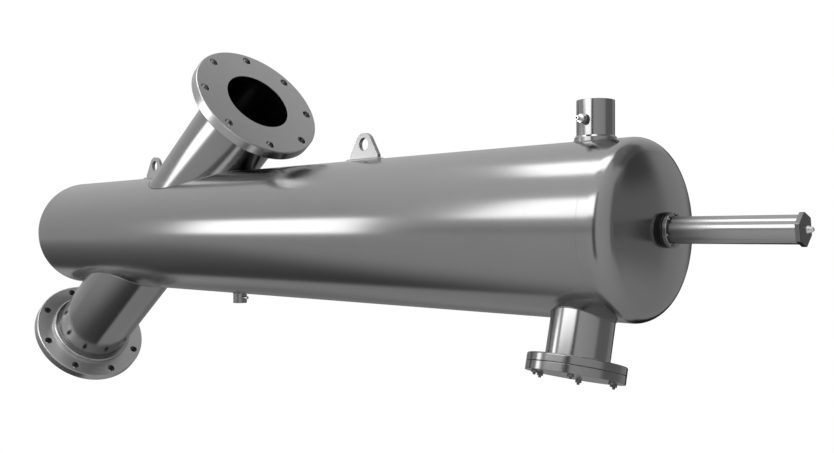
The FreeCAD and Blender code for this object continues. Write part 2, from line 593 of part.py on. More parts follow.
def make_lug(label, place):
    """Lug plate with an eye, a round top and sides that slope to a short straight foot."""
    body = new_body(label, along(place))
    half = "Sizes.lug_half_width"
    eye = ("0", "Layout.lug_eye_height")
    sketch = new_sketch(body, "XZ_Plane", label + "_outline")
    top = value("Layout.lug_eye_height")
    radius = value("Sizes.lug_top_radius")
    right = [point_of((half, "Layout.pad_r")), point_of((half, "Layout.lug_shoulder"))]
    left = [Vector(-corner.x, corner.y, 0) for corner in right]
    around = Part.ArcOfCircle(Part.Circle(Vector(0, top, 0), Vector(0, 0, 1), radius), 0.4, 2.7)
    path = [
        Part.LineSegment(left[0], right[0]),
        Part.LineSegment(right[0], right[1]),
        Part.LineSegment(right[1], around.StartPoint),
        around,
        Part.LineSegment(around.EndPoint, left[1]),
        Part.LineSegment(left[1], left[0]),
    ]
    sketch.addGeometry(path, False)
    for line, following in ((0, 1), (1, 2), (4, 5), (5, 0)):
        sketch.addConstraint(Sketcher.Constraint("Coincident", line, 2, following, 1))
    sketch.addConstraint(Sketcher.Constraint("Tangent", 2, 2, 3, 1))
    sketch.addConstraint(Sketcher.Constraint("Tangent", 3, 2, 4, 1))
    hold(sketch, "DistanceX", 3, 3, size=eye[0])
    hold(sketch, "DistanceY", 3, 3, size=eye[1])
    hold(sketch, "Radius", 3, size="Sizes.lug_top_radius")
    feet = ((0, "-" + half, "Layout.pad_r"), (1, half, "Layout.pad_r"),
            (2, half, "Layout.lug_shoulder"), (5, "-" + half, "Layout.lug_shoulder"))
    for line, x, y in feet:
        hold(sketch, "DistanceX", line, 1, size=x)
        hold(sketch, "DistanceY", line, 1, size=y)
    circle(sketch, *eye, "Sizes.lug_eye / 2")
    plate = body.newObject("PartDesign::Pad", label + "_plate")
    plate.Profile = sketch
    plate.SideType = "Symmetric"
    plate.setExpression("Length", "Sizes.lug_thickness")


def make_pad(label, place):
    """Curved pad that spreads a lug's load over the shell, bevelled all round."""
    body = new_body(label, along(place))
    sketch = new_sketch(body, "YZ_Plane", label + "_outline")
    side = "%s * sin(Sizes.pad_half_angle)"
    up = "%s * cos(Sizes.pad_half_angle)"
    inner, outer = "Layout.shell_r", "Layout.pad_r"
    corners = [
        ("-" + side % inner, up % inner),
        (side % inner, up % inner, "x"),
        (side % outer, up % outer),
        ("-" + side % outer, up % outer, "x"),
    ]
    outline(sketch, corners, {0: ("0", "0"), 2: ("0", "0")})
    pad = body.newObject("PartDesign::Pad", label + "_plate")
    pad.Profile = sketch
    pad.SideType = "Symmetric"
    pad.setExpression("Length", "Sizes.pad_length")
    top = value(outer)

    def on_top(edge):
        """True for an edge of the pad's upper face."""
        return all(abs(Vector(0, v.Y, v.Z).Length - top) < 1e-4 for v in edge.Vertexes)

    round_edges(body, label + "_bevel", pad, "Sizes.pad_bevel", on_top, "Chamfer")


# Flush port on top, with its sample connection


def make_flush_port():
    """Plain-ended pipe that the flushed dirt leaves through, with its weld collar."""
    pipe = new_body("flush_port_pipe", along("Layout.flush_at"))
    ring(pipe, "flush_tube", "Layout.flush_in", "Layout.flush_r", "0", "Layout.flush_top", "V_Axis")
    cut_saddle(pipe, "flush_foot", "Layout.shell_r")
    across = Vector(1, 0, 0)
    cut_cylinder(pipe, "sample_hole", "Sizes.sample_bore / 2", "Layout.flush_r * 2",
                 ("0", "0", "Layout.sample_height"), across, "90")
    collar = new_body("flush_port_collar", along("Layout.flush_at"))
    slope = "Layout.flush_collar_top - Sizes.flush_collar_slope"
    inner = "Layout.flush_r + Sizes.weld_gap"
    foot = "Sizes.flush_collar_od / 2"
    corners = [
        (inner, "0"),
        (foot, "0"),
        (foot, slope),
        (inner + " + 1", "Layout.flush_collar_top"),
        (inner, "Layout.flush_collar_top"),
    ]
    turn_outline(collar, "flush_collar_ring", corners, about="V_Axis")
    cut_saddle(collar, "flush_collar_foot", "Layout.shell_r")


def make_sample_connection():
    """Boss on the flush port's side, and the hexagonal fitting in it."""
    base = ("Layout.axis_x + Layout.flush_at", "0", "Layout.axis_z + Layout.sample_height")
    pose = (base, Vector(0, 0, 1), "-90")
    boss = new_body("sample_boss", *pose)
    ring(boss, "sample_boss_tube", "Sizes.sample_bore / 2", "Sizes.sample_boss_od / 2",
         "0", "Sizes.sample_boss_end")
    cut_cylinder(boss, "sample_boss_foot", "Layout.flush_r", "Sizes.flush_od",
                 ("0", "0", "-Layout.flush_r"))
    fitting = new_body("sample_fitting", *pose)
    sketch = new_sketch(fitting, "YZ_Plane", "sample_hexagon", "Sizes.sample_boss_end")
    hexagon(sketch, "0", "0", "Sizes.sample_nut_size / sqrt(3)")
    circle(sketch, "0", "0", "Sizes.sample_bore / 2")
    nut = fitting.newObject("PartDesign::Pad", "sample_nut")
    nut.Profile = sketch
    nut.setExpression("Length", "Sizes.sample_nut_length")
    bore = "Sizes.sample_bore / 2"
    tail = "Sizes.sample_tail_od / 2"
    bead = "Sizes.sample_bead_od / 2"
    start = "Sizes.sample_boss_end + Sizes.sample_nut_length"
    bead_at = "Sizes.sample_tail_end - Sizes.sample_tail_bead"
    corners = [
        (start, bore),
        (start, tail),
        (bead_at, tail),
        (bead_at, bead),
        ("Sizes.sample_tail_end", tail),
        ("Sizes.sample_tail_end", bore),
    ]
    turn_outline(fitting, "sample_tail", corners)


def hexagon(sketch, x, y, corner_r):
    """Draws a hexagon with a corner towards the sketch's second axis."""
    corners = []
    for number in range(6):
        across = "(%s) + (%s) * sin(%d)" % (x, corner_r, 60 * number)
        up = "(%s) + (%s) * cos(%d)" % (y, corner_r, 60 * number)
        corners.append((across, up))
    outline(sketch, corners)


# Service hatch below


HATCH = (along("Layout.hatch_at"), Vector(1, 0, 0), "180 - Sizes.hatch_tilt")


def make_hatch():
    """Neck, flange, gasket and cover. Local Z leaves the vessel along the hatch's axis."""
    neck = new_body("hatch_neck", *HATCH)
    neck_end = "Layout.hatch_joint - Sizes.hatch_gasket"
    ring(neck, "hatch_tube", "Layout.hatch_in", "Layout.hatch_neck_r", "0", neck_end, "V_Axis")
    cut_saddle(neck, "hatch_foot", "Layout.shell_r")
    bolts = ("Layout.hatch_bolt_r", "Sizes.hatch_bolt_turn", "Sizes.hatch_bolt_count")
    flange = new_body("hatch_flange", *HATCH)
    ring(flange, "hatch_flange_plate", "Layout.hatch_neck_r + Sizes.weld_gap", "Layout.hatch_r",
         "Layout.hatch_flange_back", "Layout.hatch_joint", "V_Axis")
    drill_circle(flange, "stud_socket", "XY_Plane", "Z_Axis", "Layout.stud_hole", *bolts,
                 "Sizes.stud_grip + 1", "Layout.hatch_joint")
    rim = value("Layout.hatch_r")
    back = [value("Layout.hatch_flange_back")]
    round_edges(flange, "hatch_flange_rim", flange.Tip, "Sizes.hatch_rounding",
                lambda edge: is_rim(edge, rim, back, "z"))
    gasket = new_body("hatch_gasket_ring", *HATCH)
    ring(gasket, "hatch_gasket_sheet", "Layout.hatch_in", "Layout.hatch_r - Sizes.hatch_gasket_step",
         "Layout.hatch_joint", "Layout.hatch_cover_back", "V_Axis")
    drill_circle(gasket, "gasket_hole", "XY_Plane", "Z_Axis", "Layout.stud_hole", *bolts)
    cover = new_body("hatch_cover", *HATCH)
    ring(cover, "hatch_cover_plate", "0", "Layout.hatch_r", "Layout.hatch_cover_back",
         "Layout.hatch_cover_front", "V_Axis")
    drill_circle(cover, "cover_hole", "XY_Plane", "Z_Axis", "Layout.stud_hole", *bolts)


def make_hatch_fasteners():
    """Studs screwed into the hatch flange, and the nuts that hold the cover."""
    across = "Layout.hatch_bolt_r * cos(Sizes.hatch_bolt_turn)"
    up = "Layout.hatch_bolt_r * sin(Sizes.hatch_bolt_turn)"
    foot = "Layout.hatch_joint - Sizes.stud_grip"
    top = "Layout.hatch_cover_front + Sizes.stud_end"
    studs = new_body("hatch_studs", *HATCH)
    stud_sketch = new_sketch(studs, "XY_Plane", "stud_outline", foot)
    circle(stud_sketch, across, up, "Layout.stud_r")
    stud = studs.newObject("PartDesign::Pad", "stud")
    stud.Profile = stud_sketch
    stud.setExpression("Length", "%s - (%s)" % (top, foot))
    all_studs = pattern(studs, "stud_circle", stud, "Z_Axis", "Sizes.hatch_bolt_count")
    radius = value("Layout.stud_r")
    ends = [value(top)]
    round_edges(studs, "stud_points", all_studs, "Sizes.stud_point",
                lambda edge: is_rim(edge, radius, ends, "z"), "Chamfer")
    nuts = new_body("hatch_nuts", *HATCH)
    nut_sketch = new_sketch(nuts, "XY_Plane", "nut_outline", "Layout.hatch_cover_front")
    hexagon(nut_sketch, across, up, "Sizes.nut_size / sqrt(3)")
    circle(nut_sketch, across, up, "Layout.stud_hole")
    nut = nuts.newObject("PartDesign::Pad", "nut")
    nut.Profile = nut_sketch
    nut.setExpression("Length", "Sizes.nut_height")
    pattern(nuts, "nut_circle", nut, "Z_Axis", "Sizes.hatch_bolt_count")


# Drain below


def make_drain():
    """Threaded drain coupling, and the bleed nipple in its side."""
    coupling = new_body("drain_coupling", along("Sizes.drain_at"), Vector(1, 0, 0), "180")
    ring(coupling, "drain_tube", "Sizes.drain_bore / 2", "Sizes.drain_od / 2", "0",
         "Layout.drain_end", "V_Axis")
    cut_saddle(coupling, "drain_foot", "Layout.shell_r")
    cut_cylinder(coupling, "bleed_hole", "Sizes.bleed_bore / 2", "Sizes.drain_od",
                 ("0", "0", "Layout.bleed_height"), Vector(0, 1, 0), "90")
    base = ("Layout.axis_x + Sizes.drain_at", "0", "Layout.axis_z - Layout.bleed_height")
    nipple = new_body("bleed_nipple", base)
    bore = "Sizes.bleed_bore / 2"
    stem = "Sizes.bleed_od / 2"
    bead = "Sizes.bleed_bead_od / 2"
    bead_at = "Sizes.bleed_end - Sizes.bleed_bead"
    corners = [
        ("0", bore),
        ("0", stem),
        (bead_at, stem),
        (bead_at, bead),
        ("Sizes.bleed_end", stem),
        ("Sizes.bleed_end", bore),
    ]
    turn_outline(nipple, "bleed_stem", corners)
    cut_cylinder(nipple, "bleed_foot", "Sizes.drain_od / 2", "Sizes.drain_od",
                 ("0", "0", "-Sizes.drain_od / 2"))


# Bulkheads and screen


def make_inlet_bulkhead():
    """Plate between the two nozzles, with the socket that holds the screen's end."""
    body = new_body("inlet_bulkhead")
    corners = [
        ("Layout.inlet_bulkhead_at", "Sizes.inlet_opening / 2"),
        ("Layout.inlet_bulkhead_at", "Layout.bulkhead_r"),
        ("Layout.screen_from", "Layout.bulkhead_r"),
        ("Layout.screen_from", "Layout.socket_out"),
        ("Layout.screen_from + Sizes.socket_depth", "Layout.socket_out"),
        ("Layout.screen_from + Sizes.socket_depth", "Layout.socket_in"),
        ("Layout.screen_from", "Layout.socket_in"),
        ("Layout.screen_from", "Sizes.inlet_opening / 2"),
    ]
    turn_outline(body, "inlet_plate", corners)


def make_motor_bulkhead():
    """Plate that closes the screen, with a bush for the collector and the same socket."""
    body = new_body("motor_bulkhead")
    right = "Layout.motor_bulkhead_at + Sizes.bulkhead_thickness"
    corners = [
        ("Layout.motor_bulkhead_at", "Layout.bush_seat"),
        ("Layout.motor_bulkhead_at", "Layout.socket_in"),
        ("Layout.motor_bulkhead_at - Sizes.socket_depth", "Layout.socket_in"),
        ("Layout.motor_bulkhead_at - Sizes.socket_depth", "Layout.socket_out"),
        ("Layout.motor_bulkhead_at", "Layout.socket_out"),
        ("Layout.motor_bulkhead_at", "Layout.bulkhead_r"),
        (right, "Layout.bulkhead_r"),
        (right, "Layout.bush_seat"),
    ]
    turn_outline(body, "motor_plate", corners)


def make_screen():
    """Fine screen, its support cage, and the two ring seals round the cage's ends."""
    screen = new_body("fine_screen")
    ring(screen, "screen_tube", "Layout.screen_in", "Layout.screen_out", "Layout.screen_from",
         "Layout.screen_to")
    cage = new_body("screen_cage", along("Layout.screen_from"))
    ring(cage, "cage_first_band", "Layout.cage_in", "Layout.cage_out", "0", "Sizes.cage_band")
    ring(cage, "cage_last_band", "Layout.cage_in", "Layout.cage_out",
         "Layout.screen_length - Sizes.cage_band", "Layout.screen_length")
    sketch = new_sketch(cage, "YZ_Plane", "cage_bar_outline")
    half = "Sizes.cage_bar / 2"
    root = "sqrt(Layout.cage_in ^ 2 - (%s) ^ 2)" % half
    crest = "sqrt(Layout.cage_out ^ 2 - (%s) ^ 2)" % half
    corners = [
        ("-" + half, root),
        (half, root, "x"),
        (half, crest),
        ("-" + half, crest, "x"),
    ]
    outline(sketch, corners, {0: ("0", "0"), 2: ("0", "0")})
    bar = cage.newObject("PartDesign::Pad", "cage_bar")
    bar.Profile = sketch
    bar.setExpression("Length", "Layout.screen_length")
    pattern(cage, "cage_bars", bar, "X_Axis", "Sizes.cage_bar_count")
    spacing = "Layout.screen_length / (Sizes.cage_hoop_count + 1)"
    hoop = ring(cage, "cage_hoop", "Layout.cage_in", "Layout.cage_out",
                "%s - Sizes.cage_hoop / 2" % spacing, "%s + Sizes.cage_hoop / 2" % spacing)
    hoops = cage.newObject("PartDesign::LinearPattern", "cage_hoops")
    hoops.Originals = [hoop]
    hoops.Direction = (origin_part(cage, "X_Axis"), [""])
    hoops.setExpression("Length", "%s * (Sizes.cage_hoop_count - 1)" % spacing)
    hoops.setExpression("Occurrences", "Sizes.cage_hoop_count")
    cage.Tip = hoops
    inner = "Layout.cage_out"
    for label, middle in (("inlet_screen_seal", "Layout.screen_from + Sizes.socket_depth / 2"),
                          ("motor_screen_seal", "Layout.screen_to - Sizes.socket_depth / 2")):
        seal = new_body(label)
        ring(seal, label + "_ring", inner, "Layout.socket_in", "%s - Sizes.seal_width / 2" % middle,
             "%s + Sizes.seal_width / 2" % middle)


def make_guides():
    """Spider and bush at the inlet bulkhead, and the bush in the motor bulkhead."""
    spider = new_body("guide_spider")
    ring(spider, "spider_hub", "Layout.bush_seat", "Layout.spider_hub", "Layout.spider_left",
         "Layout.screen_from")
    sketch = new_sketch(spider, "YZ_Plane", "spider_arm_outline", "Layout.inlet_bulkhead_at")
    half = "Sizes.spider_arm / 2"
    reach = "sqrt(%s ^ 2 - (%s) ^ 2)"
    low = reach % ("Layout.spider_hub", half)
    high = reach % ("Layout.spider_rim", half)
    corners = [("-" + half, low), (half, low), (half, high), ("-" + half, high, "x")]
    outline(sketch, corners, {2: ("0", "0")})
    arm = spider.newObject("PartDesign::Pad", "spider_arm")
    arm.Profile = sketch
    arm.setExpression("Length", "Sizes.bulkhead_thickness")
    pattern(spider, "spider_arms", arm, "X_Axis", "Sizes.spider_arm_count")
    bushes = (("guide_bush", "Layout.spider_left", "Layout.screen_from"),
              ("motor_bulkhead_bush", "Layout.motor_bulkhead_at", "Layout.motor_bush_right"))
    for label, left, right in bushes:
        bush = new_body(label)
        ring(bush, label + "_ring", "Layout.bush_in", "Layout.bush_out", left, right)


# Suction collector


def suction_place(number):
    """Where a suction nozzle sits along the vessel's axis."""
    return "Layout.suction_start + %d * Layout.suction_pitch" % number


def suction_angle(number):
    """How far a suction nozzle is turned round the collector."""
    return "Sizes.suction_first_turn + %d * Sizes.suction_turn" % number


def make_collector_tube():
    """Collector tube with one hole under each suction nozzle, and the plug in its left end."""
    tube = new_body("collector_tube")
    ring(tube, "collector_pipe", "Layout.collector_in", "Layout.collector_r",
         "Layout.collector_start", "Layout.collector_end")
    for number in range(int(value("Sizes.suction_count"))):
        cut_cylinder(tube, "suction_hole_%d" % (number + 1), "Sizes.suction_bore / 2",
                     "Sizes.collector_od", (suction_place(number), "0", "0"), Vector(1, 0, 0),
                     suction_angle(number))
    plug = new_body("collector_plug")
    spigot = "Layout.collector_in - Sizes.weld_gap"
    left = "Layout.collector_start - Sizes.thrust_plate / 2"
    right = "Layout.collector_start + Sizes.thrust_plate / 2"
    corners = [
        (left, "0"),
        (left, "Layout.collector_r"),
        ("Layout.collector_start", "Layout.collector_r"),
        ("Layout.collector_start", spigot),
        (right, spigot),
        (right, "0"),
    ]
    turn_outline(plug, "collector_plug_disc", corners)


def make_suction_nozzle(number):
    """Suction nozzle: a neck on the tube that flares to a wide mouth near the screen."""
    label = "suction_nozzle_%d" % (number + 1)
    body = new_body(label, along(suction_place(number)), Vector(1, 0, 0), suction_angle(number))
    bore = "Sizes.suction_bore / 2"
    neck = "Sizes.suction_neck / 2"
    mouth = "Sizes.suction_mouth / 2"
    rim = "Layout.suction_tip - Sizes.suction_rim"
    flare = "%s - Sizes.suction_flare" % rim
    corners = [
        (bore, "0"),
        (neck, "0"),
        (neck, flare),
        (mouth, rim),
        (mouth, "Layout.suction_tip"),
        (bore, "Layout.suction_tip"),
    ]
    turn_outline(body, label + "_horn", corners, about="V_Axis")
    cut_saddle(body, label + "_foot", "Layout.collector_r")


def make_reaction_motor():
    """Hub on the collector's end, the bent arms that turn it, and the plug the rod turns in."""
    hub = new_body("motor_hub")
    outer = "Sizes.motor_hub_od / 2"
    corners = [
        ("Layout.hub_left", "Layout.hub_seat"),
        ("Layout.hub_left", outer),
        ("Layout.hub_right", outer),
        ("Layout.hub_right", "Layout.collector_in"),
        ("Layout.collector_end", "Layout.collector_in"),
        ("Layout.collector_end", "Layout.hub_seat"),
    ]
    turn_outline(hub, "motor_hub_block", corners)
    arm_r = "Sizes.motor_arm_od / 2"
    arm_in = "%s - Sizes.motor_arm_wall" % arm_r
    for number in range(int(value("Sizes.motor_arm_count"))):
        turn = "Sizes.motor_arm_turn + 360 * %d / Sizes.motor_arm_count" % number
        cut_cylinder(hub, "arm_port_%d" % (number + 1), arm_in, "Sizes.motor_hub_od",
                     ("Layout.arm_at", "0", "0"), Vector(1, 0, 0), turn)
        arm = new_body("motor_arm_%d" % (number + 1), along("Layout.arm_at"), Vector(1, 0, 0), turn)
        foot = new_sketch(arm, "XY_Plane", "arm_section_%d" % (number + 1), outer)
        circle(foot, "0", "0", arm_r)
        circle(foot, "0", "0", arm_in)
        spine = new_sketch(arm, "YZ_Plane", "arm_path_%d" % (number + 1))
        draw_arm_path(spine, outer)
        pipe = arm.newObject("PartDesign::AdditivePipe", "arm_tube_%d" % (number + 1))
        pipe.Profile = foot
        pipe.Spine = (spine, ["Edge1", "Edge2"])
    plug = new_body("thrust_plug")
    spigot = "Layout.collector_in - Sizes.weld_gap"
    corners = [
        ("Layout.plug_left", "Layout.rod_bore"),
        ("Layout.plug_left", spigot),
        ("Layout.hub_right", spigot),
        ("Layout.hub_right", outer),
        ("Layout.plug_right", outer),
        ("Layout.plug_right", "Layout.rod_bore"),
    ]
    turn_outline(plug, "thrust_disc", corners)


def draw_arm_path(sketch, start):
    """Path of a motor arm: straight out, then a quarter turn to the side."""
    bend_at = "%s + Sizes.motor_arm_straight" % start
    bend = "Sizes.motor_arm_bend"
    low = point_of(("0", start))
    high = point_of(("0", bend_at))
    centre = point_of((bend, bend_at))
    quarter = Part.Circle(centre, Vector(0, 0, 1), value(bend))
    end = centre + Vector(0, value(bend), 0)
    arc = Part.ArcOfCircle(quarter, quarter.parameter(end), quarter.parameter(high))
    sketch.addGeometry([Part.LineSegment(low, high), arc], False)
    sketch.addConstraint(Sketcher.Constraint("Coincident", 0, 2, 1, 2))
    hold(sketch, "DistanceX", 0, 1, size="0")
    hold(sketch, "DistanceY", 0, 1, size=start)
    hold(sketch, "DistanceX", 0, 2, size="0")
    hold(sketch, "DistanceY", 0, 2, size=bend_at)
    hold(sketch, "DistanceX", 1, 3, size=bend)
    hold(sketch, "DistanceY", 1, 3, size=bend_at)
    hold(sketch, "DistanceX", 1, 1, size=bend)


# Piston drive


def make_gland():
    """Base ring seated on the head's crown, gasket, front ring, rod seal and screws."""
    seal_back = "Layout.gland_front_at - Sizes.rod_seal_width"
    seal_r = "Sizes.rod_seal_od / 2"
    crown_from = "Sizes.body_length + Layout.crown_centre"
    seat = crown_from + " + sqrt(Sizes.crown_radius ^ 2 - %s ^ 2)"
    base = new_body("gland_base_ring")
    spigot_end = "%s - Sizes.gland_spigot" % seal_back
    corners = [
        (spigot_end, "Layout.rod_bore"),
        (spigot_end, "Layout.gland_neck"),
        (seat % "Layout.gland_neck", "Layout.gland_neck"),
        (seat % "Layout.gland_r", "Layout.gland_r", "y"),
        ("Layout.gland_front_at", "Layout.gland_r"),
        ("Layout.gland_front_at", seal_r),
        (seal_back, seal_r),
        (seal_back, "Layout.rod_bore"),
    ]
    turn_outline(base, "gland_base", corners, {2: (crown_from, "0")})
    screws = ("Sizes.gland_screw_circle / 2", "Sizes.gland_screw_turn", "Sizes.gland_screw_count")
    hole = "Sizes.gland_screw_od / 2 + Sizes.weld_gap"
    drill_circle(base, "base_screw_hole", "YZ_Plane", "X_Axis", hole, *screws,
                 "Sizes.gland_screw_grip + Sizes.end_gap", "Layout.gland_front_at")
    outer = value("Layout.gland_r")
    base_front = [value("Layout.gland_front_at")]
    round_edges(base, "base_rim", base.Tip, "Sizes.gland_rounding",
                lambda edge: is_rim(edge, outer, base_front))
    rod_seal = new_body("rod_seal")
    ring(rod_seal, "rod_seal_ring", "Layout.rod_bore", seal_r, seal_back, "Layout.gland_front_at")
    gasket = new_body("gland_gasket")
    ring(gasket, "gland_gasket_sheet", "Layout.housing_in", "Layout.gland_r - Sizes.gland_seal_step",
         "Layout.gland_front_at", "Layout.gland_seal_front")
    drill_circle(gasket, "gland_gasket_hole", "YZ_Plane", "X_Axis", hole, *screws)
    front = new_body("gland_front_ring")
    ring(front, "gland_front_plate", "Layout.housing_r + Sizes.weld_gap", "Layout.gland_r",
         "Layout.gland_seal_front", "Layout.gland_flange_front")
    drill_circle(front, "front_screw_hole", "YZ_Plane", "X_Axis", hole, *screws)
    front_places = [value("Layout.gland_seal_front"), value("Layout.gland_flange_front")]
    round_edges(front, "front_rim", front.Tip, "Sizes.gland_rounding",
                lambda edge: is_rim(edge, outer, front_places))
    make_gland_screws()


def make_gland_screws():
    """Screws through the front ring and the gasket into the base ring."""
    turn = "Sizes.gland_screw_turn"
    pose = (ON_AXIS, Vector(1, 0, 0), "-" + turn)
    body = new_body("gland_screws", *pose)
    middle = "Sizes.gland_screw_circle / 2"
    shank = "%s + Sizes.gland_screw_od / 2" % middle
    head = "%s + Sizes.gland_screw_head / 2" % middle
    tip = "Layout.gland_front_at - Sizes.gland_screw_grip"
    top = "Layout.gland_flange_front + Sizes.gland_screw_head_height"
    dome = "Sizes.gland_screw_head_height / 2"
    corners = [
        (tip, middle),
        (tip, shank),
        ("Layout.gland_flange_front", shank),
        ("Layout.gland_flange_front", head),
        ("%s - %s" % (top, dome), head),
        (top, "%s - %s" % (head, dome)),
        (top, middle),
    ]
    sketch = new_sketch(body, "XZ_Plane", "gland_screw_outline")
    outline(sketch, corners)
    screw = body.newObject("PartDesign::Revolution", "gland_screw")
    screw.Profile = sketch
    screw.ReferenceAxis = (sketch, ["Edge7"])
    screw.Angle = 360
    pattern(body, "gland_screw_circle_of", screw, "X_Axis", "Sizes.gland_screw_count")


def make_housing():
    """Piston housing, its hexagonal end cap with a sealed spigot, and the control nipple."""
    tube = new_body("piston_housing")
    ring(tube, "housing_tube", "Layout.housing_in", "Layout.housing_r", "Layout.gland_seal_front",
         "Layout.housing_end_at")
    cap = new_body("end_cap", ON_AXIS, Vector(1, 0, 0), "Sizes.cap_turn")
    sketch = new_sketch(cap, "YZ_Plane", "cap_hexagon", "Layout.housing_end_at")
    hexagon(sketch, "0", "0", "Sizes.cap_across_corners / 2")
    circle(sketch, "0", "0", "Sizes.cap_port / 2")
    plate = cap.newObject("PartDesign::Pad", "cap_plate")
    plate.Profile = sketch
    plate.setExpression("Length", "Sizes.cap_thickness")

    def is_corner(edge):
        """True for the six edges along the axis."""
        straight = isinstance(edge.Curve, Part.Line)
        return straight and abs(edge.Vertexes[0].X - edge.Vertexes[1].X) > 1

    round_edges(cap, "cap_corners", plate, "Sizes.cap_corner_rounding", is_corner)
    spigot = "Layout.housing_in - Sizes.weld_gap"
    groove = "%s - Sizes.cap_seal_depth" % spigot
    spigot_left = "Layout.housing_end_at - Sizes.cap_spigot"
    groove_left = "%s + Sizes.cap_seal_width" % spigot_left
    groove_right = "%s + Sizes.cap_seal_width" % groove_left
    corners = [
        (spigot_left, "Sizes.cap_port / 2"),
        (spigot_left, spigot),
        (groove_left, spigot),
        (groove_left, groove),
        (groove_right, groove),
        (groove_right, spigot),
        ("Layout.housing_end_at", spigot),
        ("Layout.housing_end_at", "Sizes.cap_port / 2"),
    ]
    turn_outline(cap, "cap_spigot_disc", corners)
    seal = new_body("end_cap_seal")
    ring(seal, "cap_seal_ring", groove, "Layout.housing_in", groove_left, groove_right)
    nipple = new_body("control_nipple")
    root = "Sizes.cap_nipple_od / 2"
    tip = "Sizes.cap_nipple_tip / 2"
    port = "Sizes.cap_port / 2"
    end = "Layout.cap_front + Sizes.cap_nipple_length"
    corners = [
        ("Layout.cap_front", port),
        ("Layout.cap_front", root),
        ("Layout.cap_front + Sizes.cap_nipple_length / 4", root),
        ("%s - 1" % end, tip),
        (end, "%s - 1" % tip),
        (end, port),
    ]
    turn_outline(nipple, "nipple_cone", corners)


def make_carriage():
    """Piston with its rings, the rod, and the two thrust collars that carry the collector."""
    piston = new_body("piston")
    left = "Layout.piston_at"
    right = "Layout.piston_at + Sizes.piston_length"
    depth = "Layout.piston_r - Sizes.piston_seal_depth"
    first = "%s + Sizes.piston_seal_inset" % left
    first_end = "%s + Sizes.piston_seal_width" % first
    last_end = "%s - Sizes.piston_seal_inset" % right
    last = "%s - Sizes.piston_seal_width" % last_end
    corners = [
        (left, "Layout.rod_r"),
        (left, "Layout.piston_r"),
        (first, "Layout.piston_r"),
        (first, depth),
        (first_end, depth),
        (first_end, "Layout.piston_r"),
        (last, "Layout.piston_r"),
        (last, depth),
        (last_end, depth),
        (last_end, "Layout.piston_r"),
        (right, "Layout.piston_r"),
        (right, "Layout.rod_r"),
    ]
    turn_outline(piston, "piston_disc", corners)
    rings = new_body("piston_rings")
    ring(rings, "first_piston_ring", depth, "Layout.piston_r", first, first_end)
    ring(rings, "last_piston_ring", depth, "Layout.piston_r", last, last_end)
    rod = new_body("piston_rod")
    ring(rod, "rod_bar", "0", "Layout.rod_r", "Layout.collar_left - Sizes.end_gap", right)
    collars = new_body("thrust_collars")
    collar_r = "Sizes.thrust_collar_od / 2"
    ring(collars, "inner_collar", "Layout.rod_r", collar_r, "Layout.collar_left",
         "Layout.plug_left - Sizes.end_gap")
    ring(collars, "outer_collar", "Layout.rod_r", collar_r, "Layout.plug_right + Sizes.end_gap",
         "Layout.collar_right")


def check(items):
    """Stops if anything failed, if a sub-part isn't sound, or if a cut took nothing away."""
    for item in items:
        if "Invalid" in item.State or "Error" in item.State:
            raise RuntimeError("failed: %s %s" % (item.Name, item.State))
        cuts = ("PartDesign::Pocket", "PartDesign::SubtractiveCylinder")
        if item.TypeId in cuts and item.BaseFeature is not None:
            if item.BaseFeature.Shape.Volume - item.Shape.Volume < 1e-6:
                raise RuntimeError("cuts nothing: " + item.Name)
    for piece in pieces:
        if piece.Shape.isNull() or not piece.Shape.isValid() or not piece.Shape.Solids:
            raise RuntimeError("unsound: " + piece.Label)


def build():
    """Makes every sub-part and writes one file for each."""
    fill_sheets()
    make_shell()
    make_heads()
    for side in ("outlet", "inlet"):
        make_nozzle_pipe(side)
        make_nozzle_flange(side)
    for name in ("near", "far"):
        make_lug("lifting_lug_" + name, "Layout.lug_%s_at" % name)
        make_pad("lug_pad_" + name, "Layout.lug_%s_at" % name)
    make_flush_port()
    make_sample_connection()
    make_hatch()
    make_hatch_fasteners()
    make_drain()
    make_inlet_bulkhead()
    make_motor_bulkhead()
    make_screen()
    make_guides()
    make_collector_tube()
    for number in range(int(value("Sizes.suction_count"))):
        make_suction_nozzle(number)
    make_reaction_motor()
    make_gland()
    make_housing()
    make_carriage()
    doc.recompute()
    check(doc.Objects)
    os.makedirs("parts", exist_ok=True)
    for piece in pieces:
        piece.Shape.exportStep("parts/%s.step" % piece.Label)


build()
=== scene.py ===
"""Dresses the self cleaning filter and lights it as a studio would."""
import logging
import math
from dataclasses import dataclass, field, replace
from enum import Enum
from typing import Any, Callable, ClassVar

import bmesh
import bpy
from mathutils import Euler, Matrix, Vector


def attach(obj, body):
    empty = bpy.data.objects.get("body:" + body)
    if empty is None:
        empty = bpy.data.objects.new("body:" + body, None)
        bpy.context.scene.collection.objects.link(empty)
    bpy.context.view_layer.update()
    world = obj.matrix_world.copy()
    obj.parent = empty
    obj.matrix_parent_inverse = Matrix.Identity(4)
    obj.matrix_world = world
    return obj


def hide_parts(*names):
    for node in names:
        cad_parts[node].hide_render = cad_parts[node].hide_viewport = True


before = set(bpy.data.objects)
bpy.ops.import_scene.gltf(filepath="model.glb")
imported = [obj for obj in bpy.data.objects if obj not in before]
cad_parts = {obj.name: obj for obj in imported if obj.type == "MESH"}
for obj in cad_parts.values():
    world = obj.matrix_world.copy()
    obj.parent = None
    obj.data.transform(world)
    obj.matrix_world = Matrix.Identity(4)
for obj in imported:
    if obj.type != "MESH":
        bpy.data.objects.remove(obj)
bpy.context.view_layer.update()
log = logging.getLogger("filter")

Tree = bpy.types.NodeTree
Socket = bpy.types.NodeSocket
Triple = tuple[float, float, float]
SizeAt = Callable[[float], float]

MM = 0.001
WHITE = (1.0, 1.0, 1.0, 1.0)
